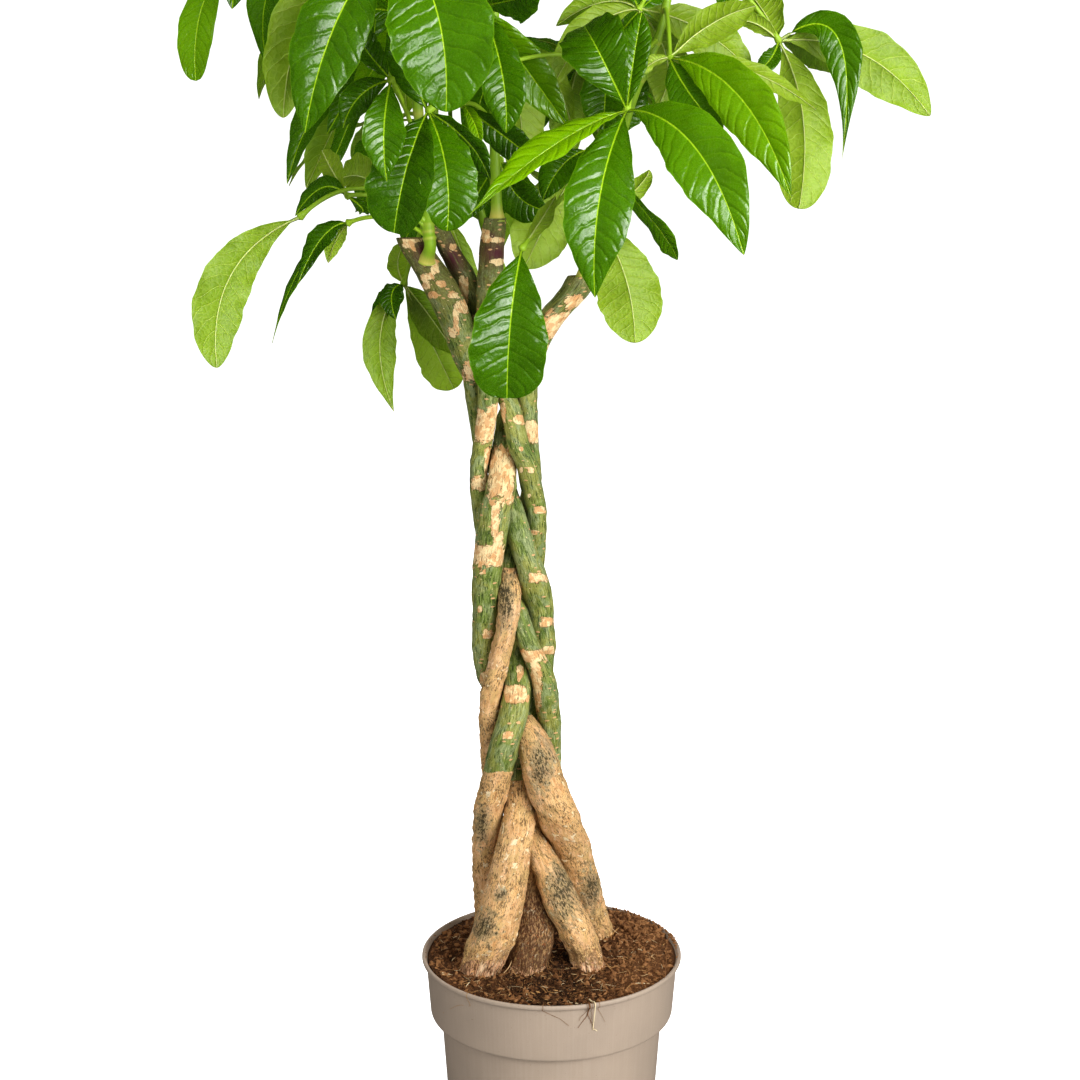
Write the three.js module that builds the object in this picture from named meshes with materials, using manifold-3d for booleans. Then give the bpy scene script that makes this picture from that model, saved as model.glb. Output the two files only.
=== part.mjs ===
// Potted money tree: a nursery pot, its soil, five braided woody stems and the leafy shoots
// that grew from their sawn tops. Millimetres, +Z up, origin at the middle of the pot's foot.
// The front of the plant faces -Y.
import * as THREE from "three";
import { mergeVertices } from "three/addons/utils/BufferGeometryUtils.js";
import Module from "manifold-3d";

const wasm = await Module();
wasm.setup();

// Pot
const RIM_RADIUS = 135;
const POT_HEIGHT = 260;
const FLOOR = 3;
const ROUND = 32;
const DRAIN_HOLES = 6;
const DRAIN_RADIUS = 6;
const DRAIN_RING = 70;
const DRAIN_SIDES = 8;

// Soil
const SOIL_TOP = 255;
const SOIL_LIP = 0.1;
const SOIL_RINGS = [108, 80, 46];
const HOLE_REACH = 40;
const SEAT = 0.35;

// Stems: level slices a step apart from the foot up
const STEM_FOOT = 190;
const STEM_STEP = 21;
const STEM_SIDES = 8;
const STEM_CLEAR = 0.7;
const SIDEWAYS = 0.12;
const FINE_STEPS = 400;
const SPREAD_ROUNDS = 260;
const EASE_ROUNDS = 60;
const EASE = 0.3;

// Soil heap at the back right: its place, height and reach
const HEAP = { x: 75, y: 70, height: 5, reach: 30 };

// Shoots: a root ends just off the bark that bears it, found in a few steps from further out
const SHOOT_SIDES = 5;
const RINGS_PER_POINT = 1.4;
const SHOOT_SEAT = 0.3;
const SEAT_SEARCH = 14;
const SEAT_ROUNDS = 12;
const SEAT_REACH = 56;

// Leaves: radii of the leaf stalk, the knob at its end and a leaflet's own stalk; thickness of
// a rib; room kept between leaflets; half width from which a leaflet gets more rings
const STALK = 2.31;
const KNOB = 4.6;
const LEAFLET_STALK = 1.5;
const RIB_THICK = 1.5;
const LEAF_CLEAR = 0.8;
const BROAD = 18;
const STALK_SIDES = 4;
const SEED = 20241;

// What is drawn for each leaflet, as the least and what may be added: fold of the blade in
// degrees and height of its edge waves
const FOLD = [5, 11];
const EDGE_WAVE = [1, 2.6];

// Leaves placed by rule: the share of them with six leaflets instead of five, how far the outer
// leaflets are shorter, where the middle of a rib lies and what share of the droop it has, then
// what is drawn: opening of the fan and droop in degrees, and shares of length, width and turn
const SIX_LEAFLETS = 0.6;
const OUTER_SHORTER = 0.12;
const RIB_MIDDLE = 0.53;
const MIDDLE_DROOP = 0.5;
const ASTRAY = 0.2;
const OPENING = [225, 50];
const DROOP = [22, 34];
const LENGTH_SHARE = [0.9, 0.22];
const WIDTH_SHARE = [0.15, 0.035];
const FACE_TURN = [0.2, 0.3];
const TAPER = [0.5, 0.3];
const STALK_LIFT = [4, 10];

// The plant is laid out on a square sheet, as it is seen from the front: places are given as
// millimetres from the sheet's left and top edges, and a depth, which is the place's own Y.
// The sheet stands through the plant's middle and leans back with the sight line.
const SHEET = 1080;
const SHEET_MIDDLE = new THREE.Vector3(-12.1, 0, 699);
const SIGHT_FALL = THREE.MathUtils.degToRad(12.1);
const EYE_DISTANCE = 1986;
const AHEAD = new THREE.Vector3(0, Math.cos(SIGHT_FALL), -Math.sin(SIGHT_FALL));
const ABOVE = new THREE.Vector3(0, Math.sin(SIGHT_FALL), Math.cos(SIGHT_FALL));
const ACROSS = new THREE.Vector3(1, 0, 0);
const EYE = SHEET_MIDDLE.clone().addScaledVector(AHEAD, -EYE_DISTANCE);
const UP = new THREE.Vector3(0, 0, 1);

function seen([across, down, depth]) {
  const ray = AHEAD.clone()
    .multiplyScalar(EYE_DISTANCE)
    .addScaledVector(ACROSS, across - SHEET / 2)
    .addScaledVector(ABOVE, SHEET / 2 - down);
  return EYE.clone().addScaledVector(ray, (depth - EYE.y) / ray.y);
}

// The five stems from foot to sawn top: across, down, depth and radius.
// A stem comes to the front on its way from an edge of the braid to its middle, going up.
const STEMS = [
  [
    [524, 1010, -58, 20], [526, 978, -58, 21], [533, 945, -46, 24], [535, 920, -22, 19],
    [532, 890, 0, 14], [538, 850, 14, 12.5], [546, 815, 17, 12], [550, 785, 10, 12],
    [549, 762, 0, 12], [549, 740, -8, 12], [548, 715, -18, 12.5], [543, 680, -24, 13],
    [533, 655, -22, 12], [526, 635, -18, 11], [518, 610, -8, 10.5], [505, 582, 4, 10.5],
    [492, 556, 12, 10], [484, 528, 2, 10], [481, 500, -8, 9.5], [479, 470, -14, 9.5],
    [483, 440, -20, 9.5], [488, 400, -20, 10.5], [490, 350, -10, 12.5], [490, 300, -4, 13],
    [492, 250, -2, 12.5], [495, 218, 0, 11],
  ],
  [
    [600, 1010, -30, 15], [588, 965, -30, 15.5], [580, 940, -30, 18.5], [564, 910, -30, 20],
    [552, 880, -28, 17.5], [541, 855, -20, 15], [531, 835, -6, 13], [514, 810, 10, 11],
    [500, 790, 13, 10.5], [492, 770, 6, 10.5], [490, 745, -4, 10.5], [491, 715, -14, 10.5],
    [492, 695, -20, 10.5], [499, 660, -24, 10.5], [508, 620, -24, 10.5], [509, 595, -18, 9.5],
    [510, 566, -6, 8.5], [517, 535, 8, 9], [527, 507, 14, 9.5], [531, 478, 8, 10],
    [530, 452, -2, 9.5], [528, 425, -12, 9.5], [526, 390, -16, 11], [530, 362, -14, 13],
    [540, 335, -10, 15], [556, 312, -8, 16], [574, 292, -6, 16], [583, 276, -6, 15],
  ],
  [
    [476, 1000, -34, 19], [483, 960, -34, 22], [492, 940, -34, 24.5], [503, 900, -33, 22.5],
    [511, 860, -30, 19.5], [518.5, 820, -22, 16.5], [519, 790, -10, 13.5], [525, 755, 6, 12.5],
    [535, 725, 14, 12.5], [541, 700, 8, 12.5], [541, 675, -2, 13], [540, 650, -10, 13.5],
    [538, 610, -20, 14.3], [532, 580, -24, 14.5], [521, 540, -22, 13], [514, 505, -8, 11],
    [502, 478, 8, 10], [489, 460, 12, 9.5], [481, 440, 6, 8.5], [477, 420, 2, 8.5],
    [474, 400, 2, 8.5], [473, 380, 2, 9], [467, 356, 0, 14], [459, 328, -4, 17],
    [447, 300, -6, 18.5], [432, 272, -8, 17.5], [419, 252, -8, 16], [411, 238, -8, 14.5],
  ],
  [
    [604, 965, 66, 17], [598, 935, 65, 18], [592, 915, 58, 18.5], [586, 895, 46, 19],
    [575, 860, 24, 20.5], [561, 820, 4, 22.5], [546, 782, -12, 22], [537, 750, -17, 19],
    [524, 722, -12, 14.5], [511, 705, 2, 13], [497, 690, 10, 12.5], [488, 670, 4, 12.5],
    [485, 645, -6, 13], [486, 610, -17, 13.5], [487, 580, -22, 14.3], [491, 540, -27, 16],
    [498, 500, -27, 16], [503, 480, -24, 15], [505, 455, -14, 13], [506, 435, 0, 12],
    [510, 412, 12, 11.5], [516, 394, 20, 11.5], [518, 372, 26, 11.5], [515, 345, 27, 12],
    [510, 315, 25, 12.5], [507, 292, 23, 12],
  ],
  [
    [489, 955, 58, 15.5], [490, 928, 56, 16], [490, 902, 46, 16], [488, 870, 28, 16],
    [487, 840, 10, 15.5], [491, 805, -8, 15.5], [498, 770, -18, 15.5], [505, 740, -23, 15.5],
    [511, 718, -24, 15.4], [516, 690, -18, 14], [518, 660, -4, 12], [522, 630, 10, 11.5],
    [530, 602, 14, 11], [533, 580, 6, 10.5], [535, 555, -4, 10.5], [535, 525, -13, 10.5],
    [531, 490, -20, 11], [527, 470, -23, 11.5], [517, 440, -22, 11.5], [510, 405, -12, 10.5],
    [497, 380, 4, 10.5], [486, 352, 14, 11.5], [479, 325, 18, 12], [474, 300, 16, 12.5],
    [465, 278, 14, 12], [452, 255, 12, 11.5], [440, 233, 10, 10.5], [436, 219, 10, 9.5],
  ],
];

// Green stems of the leafy shoots, from the stub up: across, down and depth, then the radii at
// both ends, the number of the woody stem that bears the shoot, and the way towards its bark.
const SHOOTS = [
  { route: [[432, 257, -34], [428, 225, -30], [426, 190, -26], [418, 110, -34], [408, 20, -50],
    [398, -80, -70], [392, -160, -80]], from: 6, to: 3.2, stub: 2, seat: [0, 1, 0] },
  { route: [[437, 211, 12], [434, 175, 20], [434, 100, 34], [436, 10, 48], [432, -90, 60],
    [424, -170, 66]], from: 5.5, to: 3, stub: 4, seat: [0, 0, -1] },
  { route: [[505, 278, 26], [496, 255, 34], [484, 225, 40], [474, 180, 46], [466, 110, 58],
    [470, 20, 84], [478, -80, 106], [482, -150, 112]], from: 5, to: 3, stub: 3, seat: [0, 0, -1] },
  { route: [[497, 210, -2], [495, 160, 2], [494, 90, 4], [495, 10, 2], [500, -90, -6],
    [508, -190, -16]], from: 5.5, to: 3.2, stub: 0, seat: [0, 0, -1] },
  { route: [[584, 266, -6], [592, 235, -2], [605, 190, 0], [620, 140, 0], [634, 95, -4],
    [649, 60, -6], [662, 24, -4], [676, -50, -2], [684, -130, 0]],
    from: 6, to: 3.2, stub: 1, seat: [0, 0, -1] },
  { route: [[588, 268, 6], [594, 240, 30], [602, 190, 58], [612, 120, 88], [618, 40, 112],
    [616, -50, 122], [608, -120, 120]], from: 5, to: 3, stub: 1, seat: [0, 0, -1] },
];

// Leaves that show from the front. shoot: its number; at: how far up the shoot the stalk leaves;
// hub: where the leaflets meet; lift: how far the stalk arches up. Each leaflet has the place half
// way along its rib, its tip, half its width, and its turn: 0 shows the upper face, 180 the lower.
const FRONT_LEAVES = [
  { shoot: 0, at: 0.9, hub: [395, -65, -150], lift: 14, leaflets: [
    [[436, 8, -196], [446, 112, -196], 46, 0, 0.6], [[338, 18, -186], [305, 133, -186], 32, 8, 0.6],
    [[314, 0, -150], [283, 118, -150], 27, 158, 0.6], [[286, -40, -120], [266, 62, -120], 22, 30, 0.6],
    [[470, -70, -190], [520, -20, -200], 30, 0, 0.6],
    [[420, -130, -170], [440, -190, -170], 26, 40, 0.6]] },
  { shoot: 0, at: 0.74, hub: [250, -62, -40], lift: 30, leaflets: [
    [[205, -2, -60], [196, 81, -66], 18, 30, 0.45], [[240, -40, -90], [232, 9, -110], 18, 0, 0.7],
    [[208, -60, -20], [172, -30, 0], 22, 40, 0.6], [[230, -100, -10], [205, -150, 10], 24, 30, 0.6],
    [[262, -110, -60], [270, -160, -70], 22, 30, 0.6]] },
  { shoot: 0, at: 0.5, hub: [368, 58, 20], lift: 10, leaflets: [
    [[320, 102, 6], [287, 184, -4], 16, 30, 0.8], [[338, 118, 26], [306, 188, 16], 20, 150, 0.7],
    [[350, 120, 2], [321, 186, -8], 11, 30, 0.8], [[350, 92, -14], [327, 134, -30], 13, 0, 0.8],
    [[376, 10, 30], [372, -50, 40], 22, 40, 0.6]] },
  { shoot: 0, at: 0.6, hub: [403, 14, -74], lift: 6, leaflets: [
    [[380, 58, -92], [353, 99, -100], 16, 30, 0.8], [[352, 14, -70], [312, 52, -76], 20, 30, 0.7],
    [[370, -22, -60], [338, -60, -60], 20, 20, 0.6]] },
  { shoot: 0, at: 0.38, hub: [391, 80, -152], lift: 10, leaflets: [
    [[384, 130, -172], [387, 182, -172], 20, 0, 0.7], [[360, 96, -140], [343, 128, -140], 14, 10, 0.8],
    [[366, 50, -150], [346, 20, -150], 16, 30, 0.7]] },
  { shoot: 4, at: 0.56, hub: [428, 111, -120], lift: 34, leaflets: [
    [[411, 64, -112], [402, 4, -106], 22, 0, 0.7], [[407, 167, -160], [394, 233, -160], 31, 4, 0.5],
    [[446, 168, -156], [447, 231, -156], 27, -12, 0.6], [[468, 142, -128], [490, 180, -128], 14, 40, 0.8],
    [[446, 66, -100], [466, 20, -90], 20, 20, 0.7]] },
  { shoot: 3, at: 0.3, hub: [462, 104, -66], lift: 8, leaflets: [
    [[504, 136, -70], [534, 158, -74], 17, 20, 0.7], [[474, 122, -84], [481, 147, -90], 7, 0, 0.9],
    [[455, 60, -60], [452, 10, -60], 18, 20, 0.7]] },
  { shoot: 3, at: 0.52, hub: [482, 6, -62], lift: 12, leaflets: [
    [[502, 72, -92], [506, 133, -92], 21, 0, 0.7], [[525, 64, -58], [571, 128, -62], 21, 14, 0.8],
    [[522, -40, -60], [560, -70, -60], 24, 20, 0.6], [[468, -50, -110], [452, -110, -130], 24, 10, 0.6],
    [[512, 0, -110], [540, -6, -150], 20, 20, 0.7]] },
  { shoot: 2, at: 0.5, hub: [508, 44, 46], lift: 14, leaflets: [
    [[519, 104, 36], [524, 178, 30], 26, 170, 0.6], [[548, 70, 44], [572, 128, 40], 18, 150, 0.7],
    [[484, 90, 44], [472, 146, 40], 20, 20, 0.7]] },
  { shoot: 4, at: 0.84, hub: [639, 9, 6], lift: 6, leaflets: [
    [[591, 30, -6], [551, 91, -10], 20, 150, 0.6], [[602, 2, 10], [556, 26, 10], 15, 150, 0.7],
    [[699, 24, -16], [758, 64, -26], 24, 162, 0.6], [[667, 60, 30], [658, 106, 30], 22, 175, 0.6],
    [[646, 38, -8], [650, 62, -10], 7, 170, 0.8], [[612, -40, 0], [580, -80, 0], 24, 20, 0.6],
    [[668, -46, 20], [700, -96, 40], 26, 20, 0.6]] },
  { shoot: 4, at: 0.7, hub: [627, 110, -92], lift: 12, leaflets: [
    [[600, 54, -112], [584, 26, -64], 32, 0, 0.42], [[634, 58, -92], [642, 12, -76], 15, -10, 0.7],
    [[553, 146, -136], [470, 214, -176], 21, 52, 0.8], [[600, 196, -146], [595, 298, -146], 32, 0, 0.7],
    [[694, 146, -166], [744, 255, -182], 32, 0, 0.55]] },
  { shoot: 5, at: 0.58, hub: [612, 44, 60], lift: 8, leaflets: [
    [[606, 88, 30], [604, 130, 20], 25, 0, 0.5], [[662, 60, 70], [706, 96, 70], 22, 160, 0.7],
    [[640, 10, 90], [676, -20, 110], 20, 20, 0.7]] },
  { shoot: 4, at: 0.78, hub: [670, 58, -62], lift: 10, leaflets: [
    [[739, 96, -124], [791, 197, -156], 26, 6, 0.7], [[690, 94, -90], [723, 133, -106], 21, -16, 0.7],
    [[746, 70, -34], [816, 110, -46], 14, 140, 0.8], [[654, 62, -70], [636, 77, -72], 7, 150, 0.8],
    [[712, 24, -60], [756, 6, -60], 20, 150, 0.7]] },
  { shoot: 4, at: 0.88, hub: [779, 41, 20], lift: 16, leaflets: [
    [[838, 38, 6], [842, 160, -6], 20, 0, 0.6], [[862, 54, 40], [930, 116, 46], 29, 165, 0.6],
    [[803, 118, 60], [799, 209, 60], 30, 175, 0.5], [[764, 12, 44], [745, -12, 60], 22, 165, 0.7],
    [[757, 24, 10], [737, 22, 0], 10, 150, 0.8], [[812, 50, 90], [834, 74, 110], 16, 165, 0.8],
    [[770, 60, 0], [757, 70, -10], 10, 20, 0.8]] },
  { shoot: 4, at: 0.34, hub: [522, 249, -120], lift: 10, leaflets: [
    [[511, 318, -146], [507, 398, -140], 36, 0, 0.42], [[540, 222, -104], [556, 196, -96], 9, 150, 0.8]] },
  { shoot: 5, at: 0.32, hub: [588, 150, 60], lift: 10, leaflets: [
    [[556, 204, 52], [524, 268, 46], 32, 165, 0.5], [[562, 166, 36], [543, 200, 30], 18, 20, 0.7],
    [[640, 232, 56], [657, 274, 52], 14, 50, 0.7], [[624, 112, 70], [646, 78, 80], 18, 30, 0.7]] },
  { shoot: 5, at: 0.22, hub: [597, 222, 52], lift: 6, leaflets: [
    [[625, 276, 46], [635, 343, 40], 33, 172, 0.5], [[640, 190, 66], [656, 170, 76], 10, 150, 0.8]] },
  { shoot: 0, at: 0.17, hub: [300, 217, -84], lift: 30, leaflets: [
    [[231, 275, -96], [217, 368, -110], 25, 172, 0.55]] },
  { shoot: 0, at: 0.14, hub: [347, 196, -56], lift: 12, leaflets: [
    [[322, 188, -50], [295, 216, -40], 12, 30, 0.8],
    [[362, 208, -60], [359, 214, -56], 7, 20, 0.9], [[330, 166, -40], [322, 150, -30], 12, 150, 0.8]] },
  { shoot: 1, at: 0.2, hub: [378, 188, 30], lift: 8, leaflets: [
    [[360, 176, 20], [341, 178, 10], 22, 150, 0.6], [[396, 196, 60], [410, 206, 84], 14, 160, 0.7]] },
  { shoot: 0, at: 0.1, hub: [348, 223, -10], lift: 12, leaflets: [
    [[322, 238, -16], [298, 284, -22], 12, 30, 0.8], [[336, 240, 0], [328, 263, 4], 10, 160, 0.8],
    [[304, 262, 10], [272, 343, 16], 10, 60, 0.9]] },
  { shoot: 1, at: 0.08, hub: [404, 284, 48], lift: 8, leaflets: [
    [[428, 314, 58], [456, 354, 50], 19, 170, 0.6], [[432, 344, 74], [454, 389, 70], 22, 172, 0.5],
    [[392, 294, 30], [396, 320, 20], 13, 20, 0.8], [[380, 338, 36], [394, 412, 30], 18, 168, 0.6],
    [[386, 304, 50], [368, 338, 50], 12, 30, 0.8], [[398, 262, 66], [406, 242, 70], 13, 165, 0.8]] },
  { shoot: 1, at: 0.14, hub: [446, 216, 60], lift: 6, leaflets: [
    [[464, 262, 62], [473, 319, 60], 13, 160, 0.7], [[480, 200, 80], [504, 214, 96], 22, 20, 0.6],
    [[420, 220, 90], [404, 244, 110], 22, 20, 0.6]] },
  { shoot: 3, at: 0.12, hub: [500, 160, 26], lift: 4, leaflets: [
    [[518, 196, 28], [548, 210, 24], 21, 20, 0.6], [[480, 190, 30], [466, 220, 30], 14, 20, 0.7]] },
];

// Leaves round the back, inside and on top, placed by rule: shoot, how far up it, the way the
// stalk points (degrees, 0 to the right, 90 to the back), its rise, its length, leaflet length.
const OTHER_LEAVES = [
  [0, 0.88, 165, 35, 100, 150], [0, 0.96, 240, 50, 80, 160], [0, 1.0, 60, 66, 70, 140],
  [1, 0.3, 110, 10, 120, 160], [1, 0.52, 140, 25, 110, 165], [1, 0.66, 95, 30, 110, 160],
  [1, 0.84, 170, 45, 90, 150], [1, 1.0, 120, 64, 70, 150],
  [2, 0.42, 85, 10, 110, 160], [2, 0.62, 60, 25, 110, 160], [2, 0.8, 115, 40, 100, 160],
  [2, 1.0, 60, 66, 80, 150],
  [3, 0.7, 260, 35, 100, 160], [3, 0.84, 20, 40, 90, 150], [3, 1.0, 290, 72, 70, 160],
  [4, 0.96, 335, 45, 110, 160], [4, 1.0, 260, 60, 90, 160], [4, 0.92, 40, 40, 110, 160],
  [5, 0.48, 110, 34, 110, 160], [5, 0.62, 75, 25, 120, 160], [5, 0.8, 25, 38, 110, 160],
  [5, 1.0, 80, 64, 80, 150],
];

// Small repeats of bends that a leaflet may take to hang clear of its neighbours:
// swing (degrees about the upright), dip (degrees down) and share of its length kept.
const BENDS = [
  [0, 0, 1], [0, 10, 1], [0, -10, 1], [12, 0, 1], [-12, 0, 1], [10, 16, 1], [-10, 16, 1],
  [0, 24, 1], [0, -22, 1], [24, 4, 1], [-24, 4, 1], [0, 0, 0.78], [18, 20, 0.78],
  [-18, 20, 0.78], [0, 34, 0.8], [0, -30, 0.8], [34, 0, 0.75], [-34, 0, 0.75], [0, 0, 0.58],
  [24, 26, 0.58], [-24, 26, 0.58], [0, -36, 0.58], [0, 44, 0.58],
];

// Even draws between 0 and 1 that come out the same each time.
function drawsFrom(seed) {
  let state = seed;
  return () => {
    state = (state * 48271) % 2147483647;
    return state / 2147483647;
  };
}

function drawn([least, more], draw) {
  return least + more * draw();
}

// A closed solid from a three.js geometry, with its shared corners merged.
function solidOf(geometry) {
  const bare = new THREE.BufferGeometry();
  bare.setAttribute("position", geometry.getAttribute("position"));
  bare.setIndex(geometry.index);
  const merged = mergeVertices(bare, 1e-4);
  const corners = merged.index.array;
  const kept = [];
  for (let i = 0; i < corners.length; i += 3) {
    const [a, b, c] = [corners[i], corners[i + 1], corners[i + 2]];
    if (a !== b && b !== c && c !== a) kept.push(a, b, c);
  }
  const make = (triVerts) =>
    new wasm.Manifold(
      new wasm.Mesh({
        numProp: 3,
        vertProperties: new Float32Array(merged.getAttribute("position").array),
        triVerts: new Uint32Array(triVerts),
      }),
    );
  const made = make(kept);
  if (made.volume() >= 0) return made;
  for (let i = 0; i < kept.length; i += 3) [kept[i + 1], kept[i + 2]] = [kept[i + 2], kept[i + 1]];
  return make(kept);
}

function geometryOf(solid) {
  const mesh = solid.getMesh();
  const geometry = new THREE.BufferGeometry();
  geometry.setAttribute("position", new THREE.BufferAttribute(mesh.vertProperties, 3));
  geometry.setIndex(new THREE.BufferAttribute(mesh.triVerts, 1));
  return geometry;
}

// A closed round bar whose ring and spoke positions are given by place(ring, x, y),
// where x and y lie on the unit circle, or are 0 at the middle of an end.
function bar(sides, segments, place) {
  const skin = new THREE.CylinderGeometry(1, 1, 1, sides, segments);
  const corner = skin.getAttribute("position");
  for (let i = 0; i < corner.count; i++) {
    const ring = Math.round((0.5 - corner.getY(i)) * segments);
    const spot = place(ring, corner.getX(i), corner.getZ(i));
    corner.setXYZ(i, spot.x, spot.y, spot.z);
  }
  return solidOf(skin);
}

// A bar through centres with a radius at each, its rings square to the run of the centres.
function limb(centres, radii, sides) {
  const run = centres[centres.length - 1].clone().sub(centres[0]);
  const steep = Math.abs(run.z) > 0.8 * run.length();
  const aside = steep ? ACROSS : UP;
  const frames = centres.map((centre, i) => {
    const before = centres[Math.max(i - 1, 0)];
    const after = centres[Math.min(i + 1, centres.length - 1)];
    const along = after.clone().sub(before).normalize();
    const first = new THREE.Vector3().crossVectors(along, aside).normalize();
    const second = new THREE.Vector3().crossVectors(along, first);
    return { centre, first, second };
  });
  return bar(sides, centres.length - 1, (ring, x, y) => {
    const { centre, first, second } = frames[ring];
    return centre
      .clone()
      .addScaledVector(first, x * radii[ring])
      .addScaledVector(second, y * radii[ring]);
  });
}

// The pot: a turned wall with a stepped collar and a rim bead, and drain holes round its floor.
const POT_OUTSIDE = [
  [102, 0], [109.6, 110], [115.2, 194.4], [125, 196.8], [126.3, 198.6],
  [130.6, 253.4], [134.4, 254.8], [RIM_RADIUS, 257.6], [133, POT_HEIGHT],
];
const POT_INSIDE = [[130.6, 259], [128.4, 252], [123.6, 201], [112.8, 197.6], [99.4, FLOOR]];

function turned(profile) {
  const outline = profile.map(([r, z]) => new THREE.Vector2(r, z));
  return solidOf(new THREE.LatheGeometry(outline, ROUND).rotateX(Math.PI / 2));
}

function makePot() {
  let pot = turned([[0, 0], ...POT_OUTSIDE, ...POT_INSIDE, [0, FLOOR]]);
  for (let hole = 0; hole < DRAIN_HOLES; hole++) {
    const angle = ((hole + 0.5) * 2 * Math.PI) / DRAIN_HOLES;
    const drill = new THREE.CylinderGeometry(DRAIN_RADIUS, DRAIN_RADIUS, 4 * FLOOR, DRAIN_SIDES)
      .rotateX(Math.PI / 2)
      .translate(DRAIN_RING * Math.cos(angle), DRAIN_RING * Math.sin(angle), 0);
    pot = pot.subtract(solidOf(drill));
  }
  return pot;
}

// Height of the soil: level just under the rim, heaped towards the back right.
function soilHeight(x, y) {
  const from = (x - HEAP.x) ** 2 + (y - HEAP.y) ** 2;
  return SOIL_TOP + HEAP.height * Math.exp(-from / (2 * HEAP.reach ** 2));
}

function makeSoil(stemHoles) {
  const wall = POT_INSIDE.slice(1)
    .reverse()
    .map(([r, z]) => [r - SEAT, z + SEAT]);
  const edge = [wall[wall.length - 1][0] + SOIL_LIP, SOIL_TOP];
  const rings = SOIL_RINGS.map((r) => [r, 0]);
  const outline = [[0, FLOOR + SEAT], ...wall, edge, ...rings, [0, 0]];
  const skin = new THREE.LatheGeometry(outline.map(([r, z]) => new THREE.Vector2(r, z)), ROUND);
  skin.rotateX(Math.PI / 2);
  const corner = skin.getAttribute("position");
  const surface = 1 + wall.length;
  for (let i = 0; i < corner.count; i++) {
    if (i % outline.length < surface) continue;
    corner.setZ(i, soilHeight(corner.getX(i), corner.getY(i)));
  }
  return stemHoles.reduce((soil, hole) => soil.subtract(hole), solidOf(skin));
}

// Each stem is a stack of level round slices, so that the five pass each other without touching.
function stemSlices() {
  const paths = STEMS.map((keys) => {
    const line = keys.map((key) => seen(key));
    const curve = new THREE.CatmullRomCurve3(line, false, "catmullrom", 0.5);
    const fine = curve.getPoints(FINE_STEPS);
    const radii = keys.map((key) => key[3]);
    return fine.map((spot, i) => {
      const along = (i / FINE_STEPS) * (keys.length - 1);
      const key = Math.min(Math.floor(along), keys.length - 2);
      return { spot, radius: THREE.MathUtils.lerp(radii[key], radii[key + 1], along - key) };
    });
  });
  const at = (path, z) => {
    let next = path.findIndex((p) => p.spot.z >= z);
    if (next < 0) next = path.length - 1;
    const a = path[Math.max(next - 1, 0)];
    const b = path[next];
    const part = a === b ? 0 : THREE.MathUtils.clamp((z - a.spot.z) / (b.spot.z - a.spot.z), 0, 1);
    const spot = a.spot.clone().lerp(b.spot, part);
    return { x: spot.x, y: spot.y, z, radius: THREE.MathUtils.lerp(a.radius, b.radius, part) };
  };
  const tops = paths.map((path) => path[path.length - 1].spot.z);
  const highest = Math.max(...tops);
  const levels = Math.round((highest - STEM_FOOT) / STEM_STEP);
  const stacks = paths.map(() => []);
  for (let level = 0; level <= levels; level++) {
    const z = STEM_FOOT + level * STEM_STEP;
    paths.forEach((path, i) => {
      if (z < tops[i] - STEM_STEP / 2) stacks[i].push(at(path, z));
    });
  }
  paths.forEach((path, i) => stacks[i].push(at(path, tops[i])));
  return stacks;
}

// Stems that press on each other at a level are moved apart, far more to the front and the
// back than sideways, and each stem's depth is eased from level to level.
function spread(stacks) {
  const wished = stacks.map((stack) => stack.map(({ x }) => x));
  const levels = Math.max(...stacks.map((stack) => stack.length));
  // Two stems are compared at a level, and half way to the next one.
  const push = (level, next) => {
    const pairs = stacks
      .map((stack) => [stack[level], stack[next]])
      .filter(([low, high]) => low && high);
    for (let i = 0; i < pairs.length; i++) {
      for (let j = i + 1; j < pairs.length; j++) {
        const [[a, aNext], [b, bNext]] = [pairs[i], pairs[j]];
        const across = (b.x + bNext.x - a.x - aNext.x) / 2;
        const away = (b.y + bNext.y - a.y - aNext.y) / 2 || 0.01;
        const gap = Math.hypot(across, away);
        const need = (a.radius + aNext.radius + b.radius + bNext.radius) / 2 + STEM_CLEAR;
        if (gap >= need) continue;
        const ease = ((need - gap) * gap) / (SIDEWAYS * across ** 2 + away ** 2) / 2;
        const step = Math.min(ease, 0.5) / (level === next ? 2 : 1);
        for (const [slice, way] of [[a, -1], [aNext, -1], [b, 1], [bNext, 1]]) {
          slice.x += way * SIDEWAYS * across * step;
          slice.y += way * away * step;
        }
      }
    }
  };
  const settle = () => {
    stacks.forEach((stack, i) => {
      const depths = stack.map(({ y }) => y);
      for (let level = 1; level < stack.length - 1; level++) {
        const between = (depths[level - 1] + depths[level + 1]) / 2;
        stack[level].y += EASE * (between - depths[level]);
        stack[level].x += EASE * (wished[i][level] - stack[level].x);
      }
    });
  };
  for (let round = 0; round < SPREAD_ROUNDS; round++) {
    for (let level = 0; level < levels; level++) {
      push(level, level);
      push(level, level + 1);
    }
    if (round < EASE_ROUNDS) settle();
  }
  return stacks;
}

function makeStem(stack, extra) {
  return bar(STEM_SIDES, stack.length - 1, (ring, x, y) => {
    const { x: across, y: away, z, radius } = stack[stack.length - 1 - ring];
    const reach = radius + extra;
    return new THREE.Vector3(across + x * reach, away + y * reach, z);
  });
}

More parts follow.
